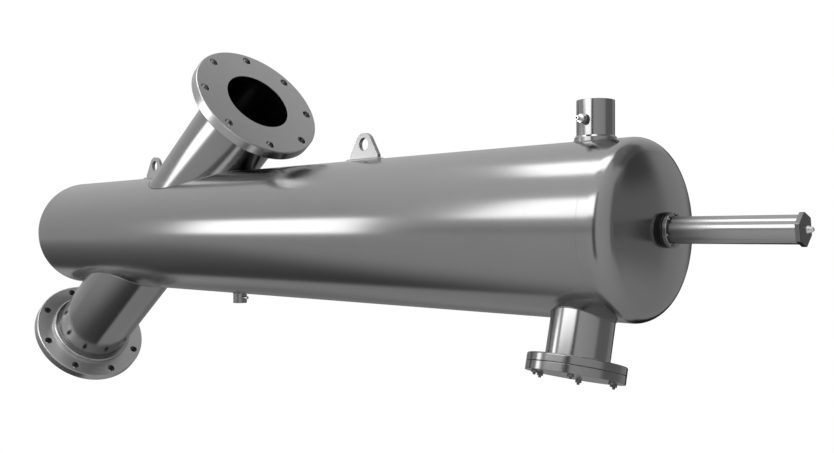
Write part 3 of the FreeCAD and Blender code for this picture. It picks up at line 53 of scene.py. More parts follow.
# The shell's axis in the frame, in mm: where it starts and its height; and the shell's radius.
AXIS_X = 3.929
AXIS_Z = 338.550
SHELL_R = 161.925
# From ring to ring of the wave node at a scale of 1.
WAVE_STEP = 0.314
# How far the 30 degree chamfer of a nut drops for each mm outwards.
CHAMFER_SLOPE = 0.58


def linear(code: str) -> tuple[float, ...]:
    """Turns an sRGB hex colour to linear values.

    Args:
        code: The colour, such as "#8c8c8c".

    Returns:
        Red, green, blue and an alpha of 1.
    """
    shares = (int(code[i:i + 2], 16) / 255 for i in (1, 3, 5))
    return (*(c / 12.92 if c <= 0.04045 else ((c + 0.055) / 1.055) ** 2.4 for c in shares), 1.0)


def add(tree: Tree, kind: str, inputs: dict[Any, Any] | None = None,
        **settings: Any) -> bpy.types.Node:
    """Adds a node with its settings and links.

    Args:
        tree: The node tree that gets it.
        kind: The node's type after "ShaderNode".
        inputs: Its inputs by name or number, each a value or the socket that feeds it.
        **settings: The node's own settings.

    Returns:
        The new node.
    """
    node = tree.nodes.new("ShaderNode" + kind)
    for name, setting in settings.items():
        setattr(node, name, setting)
    for name, given in (inputs or {}).items():
        if isinstance(given, Socket):
            tree.links.new(given, node.inputs[name])
        else:
            node.inputs[name].default_value = given
    return node


def here(tree: Tree) -> Socket:
    """Gives the object's own coordinates."""
    return add(tree, "TexCoord").outputs["Object"]


def split(tree: Tree, vector: Socket) -> Any:
    """Gives a vector's three parts."""
    return add(tree, "SeparateXYZ", {0: vector}).outputs


def sums(tree: Tree, operation: str, *given: Any) -> Socket:
    """Does a sum on up to three numbers or sockets."""
    return add(tree, "Math", dict(enumerate(given)), operation=operation).outputs[0]


def vector_sums(tree: Tree, operation: str, *given: Any) -> Socket:
    """Does a sum on vectors, of which a length or a dot product is a number."""
    node = add(tree, "VectorMath", dict(enumerate(given)), operation=operation)
    return node.outputs["Value" if operation in ("LENGTH", "DOT_PRODUCT") else "Vector"]


def noise(tree: Tree, place: Socket, size: float, detail: float) -> Socket:
    """Gives a cloudy pattern from 0 to 1 with lumps of a size, in the unit of the place."""
    return add(tree, "TexNoise", {0: place, "Scale": 1 / size, "Detail": detail}).outputs["Fac"]


def ramp(tree: Tree, value: Socket, start: float, end: float, first: float = 0.0,
         last: float = 1.0, way: str = "LINEAR") -> Socket:
    """Gives first while the value is short of start and last when past end, even between."""
    return add(tree, "MapRange", {0: value, 1: start, 2: end, 3: first, 4: last},
               interpolation_type=way).outputs[0]


def fade(tree: Tree, value: Socket, start: float, end: float, first: float = 1.0,
         last: float = 0.0) -> Socket:
    """Does as ramp does, with soft ends."""
    return ramp(tree, value, start, end, first, last, "SMOOTHSTEP")


def blend(tree: Tree, share: Socket, low: Any, high: Any) -> Socket:
    """Mixes two values: low where the share is 0, high where it is 1."""
    return add(tree, "Mix", {0: share, 2: low, 3: high}).outputs[0]


def tint(tree: Tree, share: Socket, low: Any, high: Any) -> Socket:
    """Mixes two colours: low where the share is 0, high where it is 1."""
    return add(tree, "MixRGB", {0: share, 1: low, 2: high}).outputs[0]


def layer(tree: Tree, share: Socket, low: Socket, high: Socket) -> Socket:
    """Mixes two shaders: low where the share is 0, high where it is 1."""
    return add(tree, "MixShader", {0: share, 1: low, 2: high}).outputs[0]


def nothing(tree: Tree) -> Socket:
    """Gives the shader of empty air."""
    return add(tree, "BsdfTransparent").outputs[0]


def bump(tree: Tree, height: Socket, depth: float, under: Socket | None = None) -> Socket:
    """Gives the normal of a relief of a depth in metres, over another normal or none."""
    over = {} if under is None else {"Normal": under}
    return add(tree, "Bump", {"Height": height, "Distance": depth, **over}).outputs[0]


def surface(tree: Tree, colour: Any, rough: Any, normal: Socket, metallic: float = 0.0) -> Socket:
    """Gives the shader of a solid surface."""
    inputs = {"Base Color": colour, "Metallic": metallic, "Roughness": rough, "Normal": normal}
    return add(tree, "BsdfPrincipled", inputs).outputs[0]


def glow(tree: Tree, level: Any) -> Socket:
    """Gives an even white glow of a level."""
    return add(tree, "Emission", {"Color": WHITE, "Strength": level}).outputs[0]


class Grain(Enum):
    """Which way a surface was rubbed, drawn or turned."""

    AROUND = "rubbed round the piece"
    ALONG = "drawn along the piece"
    FACED = "faced on a lathe"
    EVEN = "no direction"


@dataclass(frozen=True)
class Local:
    """A piece's own axis: a foot on it in mm, and the turn that lays X along it."""

    foot: Triple = (AXIS_X, 0.0, AXIS_Z)
    turn: Triple = (0.0, 0.0, 0.0)

    def coordinates(self, tree: Tree) -> Socket:
        """Measures in mm from the foot, with X along the axis.

        Args:
            tree: The material's nodes.

        Returns:
            The coordinates.
        """
        inputs = {"Vector": here(tree), "Location": Vector(self.foot) * MM,
                  "Rotation": [math.radians(a) for a in self.turn], "Scale": (MM, MM, MM)}
        return add(tree, "Mapping", inputs, vector_type="TEXTURE").outputs[0]


@dataclass(frozen=True)
class Finish:
    """What every finish has: its common name, from which its material is made once."""

    name: str

    def shade(self, tree: Tree) -> Socket:
        """Builds the shader.

        Args:
            tree: The material's nodes.

        Returns:
            The shader.
        """
        raise NotImplementedError

    def material(self) -> bpy.types.Material:
        """Makes the finish's material on its first use.

        Returns:
            The material.
        """
        made = bpy.data.materials.get(self.name)
        if made is None:
            made = bpy.data.materials.new(self.name)
            made.use_nodes = True
            made.node_tree.nodes.clear()
            add(made.node_tree, "OutputMaterial", {"Surface": self.shade(made.node_tree)})
        return made


@dataclass(frozen=True)
class Steel(Finish):
    """Stainless steel as it leaves the rolls, the lathe or the polishing wheel.

    Its colour is nearly one grey, so the eye reads it by its reflections: how sharp they are,
    how the fine grain draws them out, and how the sheet's slow waves bend them. Sizes are in mm.

    Attributes:
        greys: Its lighter and its darker grey.
        cloud: The size of the clouds in which they change.
        rough: The middle roughness, which the grain varies by rough_play.
        spacing: From line to line of the grain; its height is depth.
        wave: The length of the sheet's slow waves; their height is wave_depth.
        edge: The radius of an eased edge.
        bore: The radius of a bore with a look of its own, rougher and painted darker as shade, or
            0.
        holes: The bolt holes' count, pitch radius, own radius and first angle.
        face: Where on the axis one face is finished otherwise, its colour and roughness; on the
            flanges and the hatch plate that face is rougher and painted paler as light.
        painted_shade_stretch: Where a stretch of painted shade starts and ends to fade, its colour
            and roughness.
        slack: How far off a hole, and a face, still counts as on it.
    """

    greys: tuple[str, str] = ("#8f8f8f", "#878787")
    cloud: float = 90.0
    rough: float = 0.17
    rough_play: float = 0.05
    grain: Grain = Grain.AROUND
    spacing: float = 2.2
    depth: float = 0.010
    wave: float = 170.0
    wave_depth: float = 0.05
    edge: float = 0.8
    local: Local = Local()
    bore: float = 0.0
    bore_look: tuple[str, float] = ("#767676", 0.24)
    holes: tuple[int, float, float, float] | None = None
    hole_look: tuple[str, float] = ("#a0a0a0", 0.14)
    face: tuple[float, str, float] | None = None
    painted_shade_stretch: tuple[float, float, str, float] | None = None
    slack: tuple[float, float] = (0.1, 0.6)

    def grain_height(self, tree: Tree, place: Socket) -> Socket:
        """Draws the grain's lines; 2 mm apart, where real ones are 0.1 mm, so that they show.

        Args:
            tree: The material's nodes.
            place: The piece's own coordinates in mm.

        Returns:
            A height from 0 to 1.
        """
        if self.grain is Grain.FACED:
            rings = {"Vector": place, "Scale": WAVE_STEP / self.spacing, "Distortion": 0.6,
                     "Detail": 2.0, "Detail Scale": 0.4}
            wave = add(tree, "TexWave", rings, wave_type="RINGS", rings_direction="X")
            return wave.outputs["Fac"]
        fine, drawn_out = 1 / self.spacing, 1 / (self.spacing * 40)
        stretch = {Grain.AROUND: (fine, drawn_out, drawn_out), Grain.ALONG: (drawn_out, fine, fine),
                   Grain.EVEN: (fine, fine, fine)}[self.grain]
        return noise(tree, vector_sums(tree, "MULTIPLY", place, stretch), 1.0, 3.0)

    def off_axis(self, tree: Tree, place: Socket) -> Socket:
        """Gives the distance from the piece's axis."""
        across = vector_sums(tree, "MULTIPLY", place, (0.0, 1.0, 1.0))
        return vector_sums(tree, "LENGTH", across)

    def on_axis(self, tree: Tree, place: Socket) -> Socket:
        """Gives the distance along the piece's axis."""
        return split(tree, place)[0]

    def inside(self, tree: Tree, place: Socket) -> Socket:
        """Gives 1 in the bore and 0 outside."""
        return sums(tree, "LESS_THAN", self.off_axis(tree, place), self.bore)

    def drilled(self, tree: Tree, place: Socket) -> Socket:
        """Tells the bolt holes from the rest by the distance from the nearest hole's axis.

        Args:
            tree: The material's nodes.
            place: The piece's own coordinates in mm.

        Returns:
            1 in a hole and 0 elsewhere.
        """
        count, pitch_r, hole_r, first = self.holes
        half = math.pi / count
        parts = split(tree, place)
        angle = sums(tree, "ARCTAN2", parts[2], parts[1])
        angle = sums(tree, "WRAP", sums(tree, "ADD", angle, -math.radians(first)), half, -half)
        far = self.off_axis(tree, place)
        out = sums(tree, "MULTIPLY_ADD", sums(tree, "COSINE", angle), far, -pitch_r)
        side = sums(tree, "MULTIPLY", sums(tree, "SINE", angle), far)
        off = add(tree, "CombineXYZ", {0: out, 1: side}).outputs[0]
        near = vector_sums(tree, "LENGTH", off)
        return sums(tree, "LESS_THAN", near, hole_r + self.slack[0])

    def turned(self, tree: Tree, place: Socket) -> Socket:
        """Gives 1 on the one face that is finished otherwise."""
        return sums(tree, "COMPARE", self.on_axis(tree, place), self.face[0], self.slack[1])

    def painted_shade_mask(self, tree: Tree, place: Socket) -> Socket:
        """Gives 1 on the stretch of painted shade and 0 past it."""
        return fade(tree, self.on_axis(tree, place), *self.painted_shade_stretch[:2])

    def shade(self, tree: Tree) -> Socket:
        """Builds the metal: two near greys, uneven gloss, grain, waves and eased edges.

        Args:
            tree: The material's nodes.

        Returns:
            The shader.
        """
        place = self.local.coordinates(tree)
        light, dark = (linear(grey) for grey in self.greys)
        colour = tint(tree, noise(tree, place, self.cloud, 4.0), dark, light)
        grain = self.grain_height(tree, place)
        rough = ramp(tree, grain, 0.0, 1.0, self.rough - self.rough_play / 2,
                     self.rough + self.rough_play / 2)
        # A bore is rougher, and painted darker as shade.
        others = [(self.inside, *self.bore_look)] if self.bore else []
        others += [(self.drilled, *self.hole_look)] if self.holes else []
        # One face with its own colour and roughness: painted paler as light on the flanges and the
        # hatch plate.
        others += [(self.turned, *self.face[1:])] if self.face else []
        # The painted shade at a tube's root: a darker colour where the head hides the lamps.
        others += [(self.painted_shade_mask, *self.painted_shade_stretch[2:])] if self.painted_shade_stretch else []
        for part, part_colour, part_rough in others:
            mask = part(tree, place)
            colour = tint(tree, mask, colour, linear(part_colour))
            rough = blend(tree, mask, rough, part_rough)
        eased = add(tree, "Bevel", {"Radius": self.edge * MM}, samples=4).outputs[0]
        lines = bump(tree, grain, self.depth * MM, eased)
        waves = bump(tree, noise(tree, place, self.wave, 1.0), self.wave_depth * MM, lines)
        return surface(tree, colour, rough, waves, 1.0)


@dataclass(frozen=True)
class Moulding(Finish):
    """Rubber or plastic from a mould or a lathe: a plain body with a fine even grain.

    The grain breaks the highlight, so rubber looks dull and the plastic waxy. Sizes are in mm.
    """

    colour: str = "#1b1b1b"
    rough: float = 0.6
    rough_play: float = 0.08
    grain: float = 1.5
    depth: float = 0.02

    def shade(self, tree: Tree) -> Socket:
        """Builds the body with its grain.

        Args:
            tree: The material's nodes.

        Returns:
            The shader.
        """
        grain = noise(tree, LEVEL.coordinates(tree), self.grain, 4.0)
        rough = ramp(tree, grain, 0.0, 1.0, self.rough - self.rough_play,
                     self.rough + self.rough_play)
        return surface(tree, linear(self.colour), rough, bump(tree, grain, self.depth * MM))


@dataclass(frozen=True)
class WovenWire(Finish):
    """Stainless wire cloth wound to a tube: wires that cross over and under.

    The real cloth has about 20 wires to the centimetre. It is drawn with one each 3 mm, so that
    the weave shows, and the gaps are dark.
    """

    colour: str = "#8a8a8a"
    gap_colour: str = "#161616"
    rough: float = 0.34
    pitch: float = 3.0
    radius: float = 103.0
    bulge: float = 0.4
    wire_rim: tuple[float, float] = (0.72, 0.86)

    def shade(self, tree: Tree) -> Socket:
        """Builds the cloth from two sets of waves, one round the tube and one along it.

        Args:
            tree: The material's nodes.

        Returns:
            The shader.
        """
        parts = split(tree, LEVEL.coordinates(tree))
        angle = sums(tree, "ARCTAN2", parts[1], parts[2])
        turns = float(round(math.pi * self.radius / self.pitch))
        wires = [sums(tree, "ABSOLUTE", sums(tree, "SINE", sums(tree, "MULTIPLY", value, factor)))
                 for value, factor in ((angle, turns), (parts[0], math.pi / self.pitch))]
        wire = sums(tree, "MAXIMUM", *wires)
        tone = tint(tree, ramp(tree, wire, *self.wire_rim), linear(self.gap_colour),
                    linear(self.colour))
        return surface(tree, tone, self.rough, bump(tree, wire, self.bulge * MM), 1.0)


@dataclass(frozen=True)
class Floor(Finish):
    """Pale painted studio floor in metres: matt, with a roller's nap, thinning out at its rim."""

    colour: str = "#d6d6d6"
    rough: float = 0.85
    clear_from: float = 1.2
    clear_to: float = 2.0
    middle: Triple = (1.1, 0.0, 0.0)
    nap: float = 1 / 220
    nap_depth: float = 0.0001

    def shade(self, tree: Tree) -> Socket:
        """Builds the paint and its soft rim.

        Args:
            tree: The material's nodes.

        Returns:
            The shader.
        """
        place = here(tree)
        flat = vector_sums(tree, "SUBTRACT", place, self.middle)
        flat = vector_sums(tree, "MULTIPLY", flat, (1.0, 1.0, 0.0))
        far = vector_sums(tree, "LENGTH", flat)
        nap = bump(tree, noise(tree, place, self.nap, 3.0), self.nap_depth)
        paint = surface(tree, linear(self.colour), self.rough, nap)
        clear = fade(tree, far, self.clear_from, self.clear_to, 0.0, 1.0)
        return layer(tree, clear, paint, nothing(tree))


@dataclass(frozen=True)
class Patch:
    """A patch of the cove with its own brightness, placed by direction in degrees.

    Azimuth 0 looks to the front, 90 to the right; spread widens the patch upwards.
    """

    azimuth: float
    height: float
    half_width: float
    half_height: float
    level: float
    soft: float = 5.0
    spread: float = 0.0


@dataclass(frozen=True)
class Cove(Finish):
    """A glowing dome, seen only by the metal, in place of paper walls: light above and to the
    front, greyer behind and below.

    Polished steel has hardly a tone of its own. The dome's glow gives it painted reflections: the
    soft bands of grey, and from its darker patches the dark bands and the dark spot of the drive
    end's head.
    The gradients are a level in the middle and its change along X, Y and Z.
    """

    below: tuple[float, float, float, float] = (0.62, 0.06, -0.19, 0.0)
    above: tuple[float, float, float, float] = (0.99, -0.25, -0.17, 0.0)
    turn_from: float = -5.0
    turn_to: float = 60.0
    patches: tuple[Patch, ...] = (
        Patch(-25, 1, 26, 3, 0.55, 3.0),
        Patch(10.5, 5, 8, 36, 0.12, 4.0),
        Patch(122, 10, 29, 22, 0.32, 6.0),
        Patch(133, 50, 5.5, 30, 0.21, 4.0, 0.9),
        Patch(131, 72, 50, 16, 0.39, 9.0),
        Patch(135, 24, 13, 9, 0.12, 4.0),
        Patch(-135, -18, 32, 16, 0.26, 7.0),
        Patch(-165, -14, 13, 32, 0.01, 4.0),
    )

    def gradient(self, tree: Tree, way: Socket, weights: tuple[float, ...]) -> Socket:
        """Gives a level that changes evenly with the direction."""
        slope = vector_sums(tree, "DOT_PRODUCT", way, weights[1:])
        return sums(tree, "ADD", slope, weights[0])

    def mask(self, tree: Tree, azimuth: Socket, height: Socket, patch: Patch) -> Socket:
        """Tells a patch from the rest.

        Args:
            tree: The material's nodes.
            azimuth: The direction's azimuth in degrees.
            height: Its height above the horizon in degrees.
            patch: The patch.

        Returns:
            1 inside the patch and 0 outside, with a soft edge.
        """
        aside = sums(tree, "WRAP", sums(tree, "ADD", azimuth, -patch.azimuth), 180.0, -180.0)
        up = sums(tree, "ADD", height, -patch.height)
        widened = sums(tree, "MULTIPLY_ADD", sums(tree, "ADD", up, patch.half_height),
                       -patch.spread, sums(tree, "ABSOLUTE", aside))
        sides = ((widened, patch.half_width), (sums(tree, "ABSOLUTE", up), patch.half_height))
        return sums(tree, "MULTIPLY", *(fade(tree, off, half - patch.soft, half + patch.soft)
                                        for off, half in sides))

    def shade(self, tree: Tree) -> Socket:
        """Builds the glow's gradient and lays the patches over it.

        Args:
            tree: The material's nodes.

        Returns:
            The shader.
        """
        way = vector_sums(tree, "NORMALIZE", here(tree))
        parts = split(tree, way)
        azimuth = sums(tree, "ARCTAN2", parts[0], sums(tree, "MULTIPLY", parts[1], -1.0))
        azimuth = sums(tree, "DEGREES", azimuth)
        height = sums(tree, "DEGREES", sums(tree, "ARCSINE", parts[2]))
        turned = fade(tree, height, self.turn_from, self.turn_to, 0.0, 1.0)
        level = blend(tree, turned, self.gradient(tree, way, self.below),
                      self.gradient(tree, way, self.above))
        for patch in self.patches:
            level = blend(tree, self.mask(tree, azimuth, height, patch), level, patch.level)
        return glow(tree, level)


@dataclass(frozen=True)
class Silk(Finish):
    """White silk before a lamp: the steel mirrors it as a white streak with soft ends."""

    level: float = 4.5
    half: tuple[float, float] = (1.0, 1.0)
    soft: float = 0.1

    def shade(self, tree: Tree) -> Socket:
        """Builds the lit silk, which falls off towards its rim.

        Args:
            tree: The material's nodes.

        Returns:
            The shader.
        """
        parts = split(tree, here(tree))
        lit = [fade(tree, sums(tree, "ABSOLUTE", parts[axis]), half - self.soft, half)
               for axis, half in enumerate(self.half)]
        cover = sums(tree, "MULTIPLY", *lit)
        return layer(tree, cover, nothing(tree), glow(tree, self.level))


@dataclass(frozen=True)
class DarkReflectionSheet(Finish):
    """A dark sheet on the ground that glows faintly for the metal alone: a painted reflection, the
    dark band along the shell's belly.

    It is cut straight along its back and thins out to the front and right. Sizes are in metres.
    """

    back: float = -0.05
    back_rim: tuple[float, float] = (0.02, -0.04)
    front_at_zero: float = -0.90
    slant: float = 0.55
    soft: float = 0.45
    depth: float = 0.92
    thin_from: float = -3.6
    thin_share: float = 0.2
    level: float = 0.03

    def shade(self, tree: Tree) -> Socket:
        """Builds the sheet with its soft rims.

        Args:
            tree: The material's nodes.

        Returns:
            The shader.
        """
        parts = split(tree, here(tree))
        rim = sums(tree, "MULTIPLY_ADD", parts[0], -self.slant, -self.front_at_zero)
        cover = fade(tree, sums(tree, "ADD", parts[1], rim), -self.soft, self.soft, 0.0, self.depth)
        thin = ramp(tree, parts[1], self.thin_from, self.back, self.thin_share)
        cut = ramp(tree, parts[1], *(self.back + off for off in self.back_rim))
        cover = sums(tree, "MULTIPLY", sums(tree, "MULTIPLY", cover, thin), cut)
        return layer(tree, cover, nothing(tree), glow(tree, self.level))


LEVEL = Local()
UPPER_NOZZLE = Local((474.629, 0.0, AXIS_Z), (0.0, -35.5, 0.0))
LOWER_NOZZLE = Local((474.629, 0.0, AXIS_Z), (0.0, 144.5, 0.0))
HATCH_AXIS = Local((1970.429, 0.0, AXIS_Z), (0.0, 75.3, -90.0))
FLUSH_AXIS = Local((1969.929, 0.0, AXIS_Z), (0.0, -90.0, 0.0))
DRAIN_AXIS = Local((868.729, 0.0, AXIS_Z), (0.0, 90.0, 0.0))

# Rolled sheet, welded to a tube and polished round: long soft streaks with clean edges.
SHELL_STEEL = Steel(
    "polished_rolled_stainless", greys=("#8c8c8c", "#888888"), rough=0.18, bore=157.8)
# Pressed head, polished on a turntable: faint rings and a slightly softer gloss.
HEAD_STEEL = replace(
    SHELL_STEEL, name="spun_stainless_head", grain=Grain.FACED, spacing=3.5, depth=0.003, bore=0.0)
# Drawn pipe, polished round: sharper streaks than the shell's, with the bore left dull and painted
# darker as shade.
PIPE_STEEL = Steel(
    "polished_stainless_pipe", rough=0.16, rough_play=0.04, spacing=1.8, depth=0.006, wave=120.0,
    wave_depth=0.03, local=UPPER_NOZZLE, bore=106.2)
# Forged flange, faced on a lathe: an even light face with fine rings, and a rougher back painted
# paler as light.
FLANGE_STEEL = Steel(
    "faced_stainless_flange", greys=("#a8a8a8", "#a0a0a0"), rough=0.24, grain=Grain.FACED,
    spacing=2.4, depth=0.006, wave_depth=0.01, edge=1.6, local=UPPER_NOZZLE, bore=86.9,
    holes=(8, 149.25, 11.1, 35.4), face=(554.4, "#c8c8c8", 0.36))
# Laser cut plate, rubbed even: the lugs and pads look pale and flat, without streaks.
PLATE_STEEL = Steel(
    "rubbed_stainless_plate", greys=("#a4a4a4", "#989898"), rough=0.36, grain=Grain.EVEN,
    spacing=3.0, depth=0.006, wave_depth=0.01)
# The same drawn pipe, stood upright: hard white and dark stripes down its side.
FLUSH_STEEL = replace(PIPE_STEEL, name="polished_flush_pipe", local=FLUSH_AXIS, bore=31.7)
# Turned collar: the pipe's stripes again, a little softer.
COLLAR_STEEL = replace(FLUSH_STEEL, name="turned_flush_collar", rough=0.2, bore=0.0)
# The hatch's neck: two white stripes down its left side.
NECK_STEEL = replace(PIPE_STEEL, name="polished_hatch_neck", local=HATCH_AXIS, bore=54.3)
# Faced plate: darker and sharper than the flanges, with a matt upper face painted pale as light.
COVER_STEEL = replace(
    FLANGE_STEEL, name="faced_hatch_plate", greys=("#868686", "#808080"), rough=0.14,
    local=HATCH_AXIS, bore=0.0, holes=None, face=(234.7, "#f0f0f0", 0.5))
# Turned bar: a soft grey that hardly stands out under the belly.
DRAIN_STEEL = Steel(
    "turned_drain_coupling", greys=("#858585", "#878787"), rough=0.22, spacing=1.6, depth=0.008,
    wave_depth=0.0, local=DRAIN_AXIS, bore=12.3)
# Turned boss: darker than the pipe it stands on, so its outline shows.
BOSS_STEEL = replace(
    DRAIN_STEEL, name="turned_sample_boss", greys=("#7c7c7c", "#6c6c6c"), local=LEVEL, bore=0.0)
# Drawn tube: crisp bright lines along it, and at its root a rougher stretch with painted shade,
# darker where the head hides the lamps.
HOUSING_STEEL = Steel(
    "drawn_housing_tube", greys=("#9a9a9a", "#929292"), rough=0.12, grain=Grain.ALONG, spacing=1.2,
    depth=0.004, wave_depth=0.0, painted_shade_stretch=(2120.0, 2240.0, "#686868", 0.42))
# Near black steel with a satin gloss that catches light on the rims.
BLACK_STEEL = Steel(
    "near_black_steel", greys=("#383838", "#2c2c2c"), rough=0.22, grain=Grain.FACED, spacing=1.2,
    depth=0.004, wave_depth=0.0, edge=0.5)
# Bare turned ring: a light rim before the black ones.
RING_STEEL = replace(BLACK_STEEL, name="turned_front_ring", greys=("#8c8c8c", "#7c7c7c"))
# Milled hexagon: bright flats round it, and a darker, rougher end that hardly mirrors.
CAP_STEEL = replace(
    BLACK_STEEL, name="milled_hexagon_cap", greys=("#747474", "#666666"), grain=Grain.EVEN,
    spacing=1.5, face=(2337.46, "#3a3a3a", 0.3))
# Turned fasteners: small, bright on their edges and darker in the threads.
FASTENER_STEEL = Steel(
    "turned_fastener_steel", greys=("#787878", "#686868"), rough=0.25, grain=Grain.EVEN,
    spacing=0.8, wave_depth=0.0, edge=0.25)
# Cold drawn bar, turned: the small fittings are the brightest metal on the piece.
FITTING_STEEL = replace(
    FASTENER_STEEL, name="bright_drawn_fitting", greys=("#dedede", "#d2d2d2"), rough=0.3,
    depth=0.006, edge=0.3)
# Weld metal, brushed after welding: small ripples and a dull gloss.
WELD_STEEL = replace(
    FASTENER_STEEL, name="brushed_weld_bead", greys=("#7c7c7c", "#6c6c6c"), rough=0.36, spacing=2.0,
    depth=0.1, edge=0.2)
# Mill finish, which nobody polishes: the pieces inside look grey and streaky.
MILL_STEEL = Steel(
    "mill_finish_stainless", greys=("#808080", "#747474"), rough=0.36, rough_play=0.1,
    grain=Grain.ALONG, spacing=1.5, depth=0.01, wave_depth=0.02)
# Black rubber: a matt dark line between the bright rings.
RUBBER = Moulding("moulded_black_rubber")
# Pale bearing plastic: a waxy gloss beside the grey metal.
BEARING = Moulding("machined_bearing_plastic", colour="#cdc9bd", rough=0.45, grain=0.9, depth=0.01)
# Wire cloth: a fine bright weave with dark gaps.
WIRE_CLOTH = WovenWire("woven_screen_cloth")


def along(local: Local) -> Matrix:
    """Lays a piece's Z along a local axis, from mm to metres.

    Args:
        local: The axis.

    Returns:
        The placement.
    """
    turn = Euler([math.radians(angle) for angle in local.turn]).to_matrix().to_4x4()
    lay = Matrix(((0, 0, 1, 0), (1, 0, 0, 0), (0, 1, 0, 0), (0, 0, 0, 1)))
    return Matrix.Translation(Vector(local.foot) * MM) @ turn @ lay @ Matrix.Scale(MM, 4)


def round_places(radius: float, count: int, first: float) -> list[Matrix]:
    """Gives placements round a circle, in mm.

    Args:
        radius: The circle's radius.
        count: How many stand on it.
        first: The angle of the first, in degrees.

    Returns:
        One placement each, with X pointing outwards.
    """
    angles = [math.radians(first) + number * 2 * math.pi / count for number in range(count)]
    return [Matrix.Rotation(angle, 4, "Z") @ Matrix.Translation((radius, 0, 0)) for angle in angles]


def hexagon(across: float) -> SizeAt:
    """Gives the radius of a hexagon at an angle, from its size across flats."""
    return lambda angle: across / 2 / math.cos((angle + math.pi / 6) % (math.pi / 3) - math.pi / 6)


def even(size: float) -> SizeAt:
    """Gives one size at every angle."""
    return lambda angle: size


def bring(name: str, data: bpy.types.ID) -> bpy.types.Object:
    """Brings a mesh, a lamp or a camera into the scene.

    Args:
        name: The object's name.
        data: What it holds.

    Returns:
        The object.
    """
    made = bpy.data.objects.new(name, data)
    bpy.context.scene.collection.objects.link(made)
    return made


def sheet(size: tuple[float, float], middle: tuple[float, float] = (0.0, 0.0)) -> bmesh.types.BMesh:
    """Gives a flat sheet.

    Args:
        size: Its length along X and Y, in metres.
        middle: Where its middle lies.

    Returns:
        The sheet's shape.
    """
    shape = bmesh.new()
    corners = bmesh.ops.create_grid(shape, x_segments=1, y_segments=1, size=0.5)["verts"]
    bmesh.ops.scale(shape, verts=corners, vec=(*size, 1))
    bmesh.ops.translate(shape, verts=corners, vec=(*middle, 0))
    return shape


@dataclass
class Shape:
    """A bmesh in mm, with its axis along Z, and the ways in which pieces are built up."""

    mesh: bmesh.types.BMesh = field(default_factory=bmesh.new)

    def rings(self, stations: list[tuple[SizeAt, SizeAt]], place: Matrix, segments: int = 36,
              closed: bool = False) -> None:
        """Builds a turned or six sided body by bridging rings from its foot to its top.

        Args:
            stations: For each ring, its radius and its height as functions of the angle.
            place: Where the body stands.
            segments: The points of each ring.
            closed: True bridges the last ring back to the first, False caps both.
        """
        rings = []
        for radius, height in stations:
            ring = bmesh.ops.create_circle(self.mesh, segments=segments, radius=1.0)["verts"]
            for corner in ring:
                angle = math.atan2(corner.co.y, corner.co.x)
                corner.co = Vector((math.cos(angle), math.sin(angle), 0)) * radius(angle)
                corner.co.z = height(angle)
            bmesh.ops.transform(self.mesh, matrix=place, verts=ring)
            rings.append(ring)
        pairs = list(zip(rings, rings[1:])) + ([(rings[-1], rings[0])] if closed else [])
        for low, high in pairs:
            edges = {edge for corner in (*low, *high) for edge in corner.link_edges
                     if edge.is_boundary or edge.is_wire}
            loops = [edge for edge in edges
                     if set(edge.verts) <= set(low) or set(edge.verts) <= set(high)]
            bmesh.ops.bridge_loops(self.mesh, edges=loops)
        if not closed:
            bmesh.ops.contextual_create(self.mesh, geom=rings[0])
            bmesh.ops.contextual_create(self.mesh, geom=rings[-1])

    def bead(self, radius: float, size: float, height: SizeAt, steps: int = 96,
             segments: int = 10) -> None:
        """Runs a round bead about the axis.

        Args:
            radius: The bead's own distance from the axis.
            size: The radius of its section.
            height: Its height at an angle.
            steps: The steps round the axis.
            segments: The points of its section.
        """
        ring = bmesh.ops.create_circle(self.mesh, segments=segments, radius=size)["verts"]
        bmesh.ops.rotate(self.mesh, verts=ring, matrix=Matrix.Rotation(math.pi / 2, 3, "X"))
        bmesh.ops.translate(self.mesh, verts=ring, vec=(radius, 0, 0))
        edges = list({edge for corner in ring for edge in corner.link_edges})
        bmesh.ops.spin(self.mesh, geom=ring + edges, cent=(0, 0, 0), axis=(0, 0, 1),
                       angle=2 * math.pi, steps=steps, use_merge=True)
        for corner in self.mesh.verts:
            corner.co.z += height(math.atan2(corner.co.y, corner.co.x))

    def thread(self, crest: float, root: float, pitch: float, low: float, high: float,
               point: float, place: Matrix, steps: int = 12) -> None:
        """Turns a threaded rod with capped ends and a pointed top.

        Args:
            crest: The radius of the thread's crest.
            root: The radius of its root.
            pitch: From crest to crest.
            low: The height of its foot.
            high: The height of its top.
            point: How far down the top is tapered.
            place: Where the rod stands.
            steps: The steps of one turn of the thread.
        """
        turns = math.ceil((high - low) / pitch) + 2
        rod = bmesh.new()
        line = [rod.verts.new((radius, 0, low - pitch + step * pitch / 4))
                for step, radius in enumerate((crest, crest, root, root, crest))]
        edges = [rod.edges.new(pair) for pair in zip(line, line[1:])]
        bmesh.ops.spin(rod, geom=line + edges, cent=(0, 0, 0), axis=(0, 0, 1),
                       dvec=(0, 0, pitch / steps), angle=2 * math.pi * turns, steps=steps * turns)
        bmesh.ops.remove_doubles(rod, verts=rod.verts, dist=0.01)
        for height, side in ((low, -1), (high, 1)):
            cut = bmesh.ops.bisect_plane(rod, geom=[*rod.verts, *rod.edges, *rod.faces],
                                         plane_co=(0, 0, height), plane_no=(0, 0, side),
                                         clear_outer=True)
            rim = [item for item in cut["geom_cut"] if isinstance(item, bmesh.types.BMEdge)]
            bmesh.ops.contextual_create(rod, geom=rim)
        for corner in rod.verts:
            limit = crest - max(0.0, corner.co.z - (high - point))
            across = math.hypot(corner.co.x, corner.co.y)
            if across > limit:
                corner.co.xy = corner.co.xy * limit / across
        bmesh.ops.transform(rod, matrix=place, verts=rod.verts)
        kept = bpy.data.meshes.new("rod")
        rod.to_mesh(kept)
        rod.free()
        self.mesh.from_mesh(kept)
        bpy.data.meshes.remove(kept)


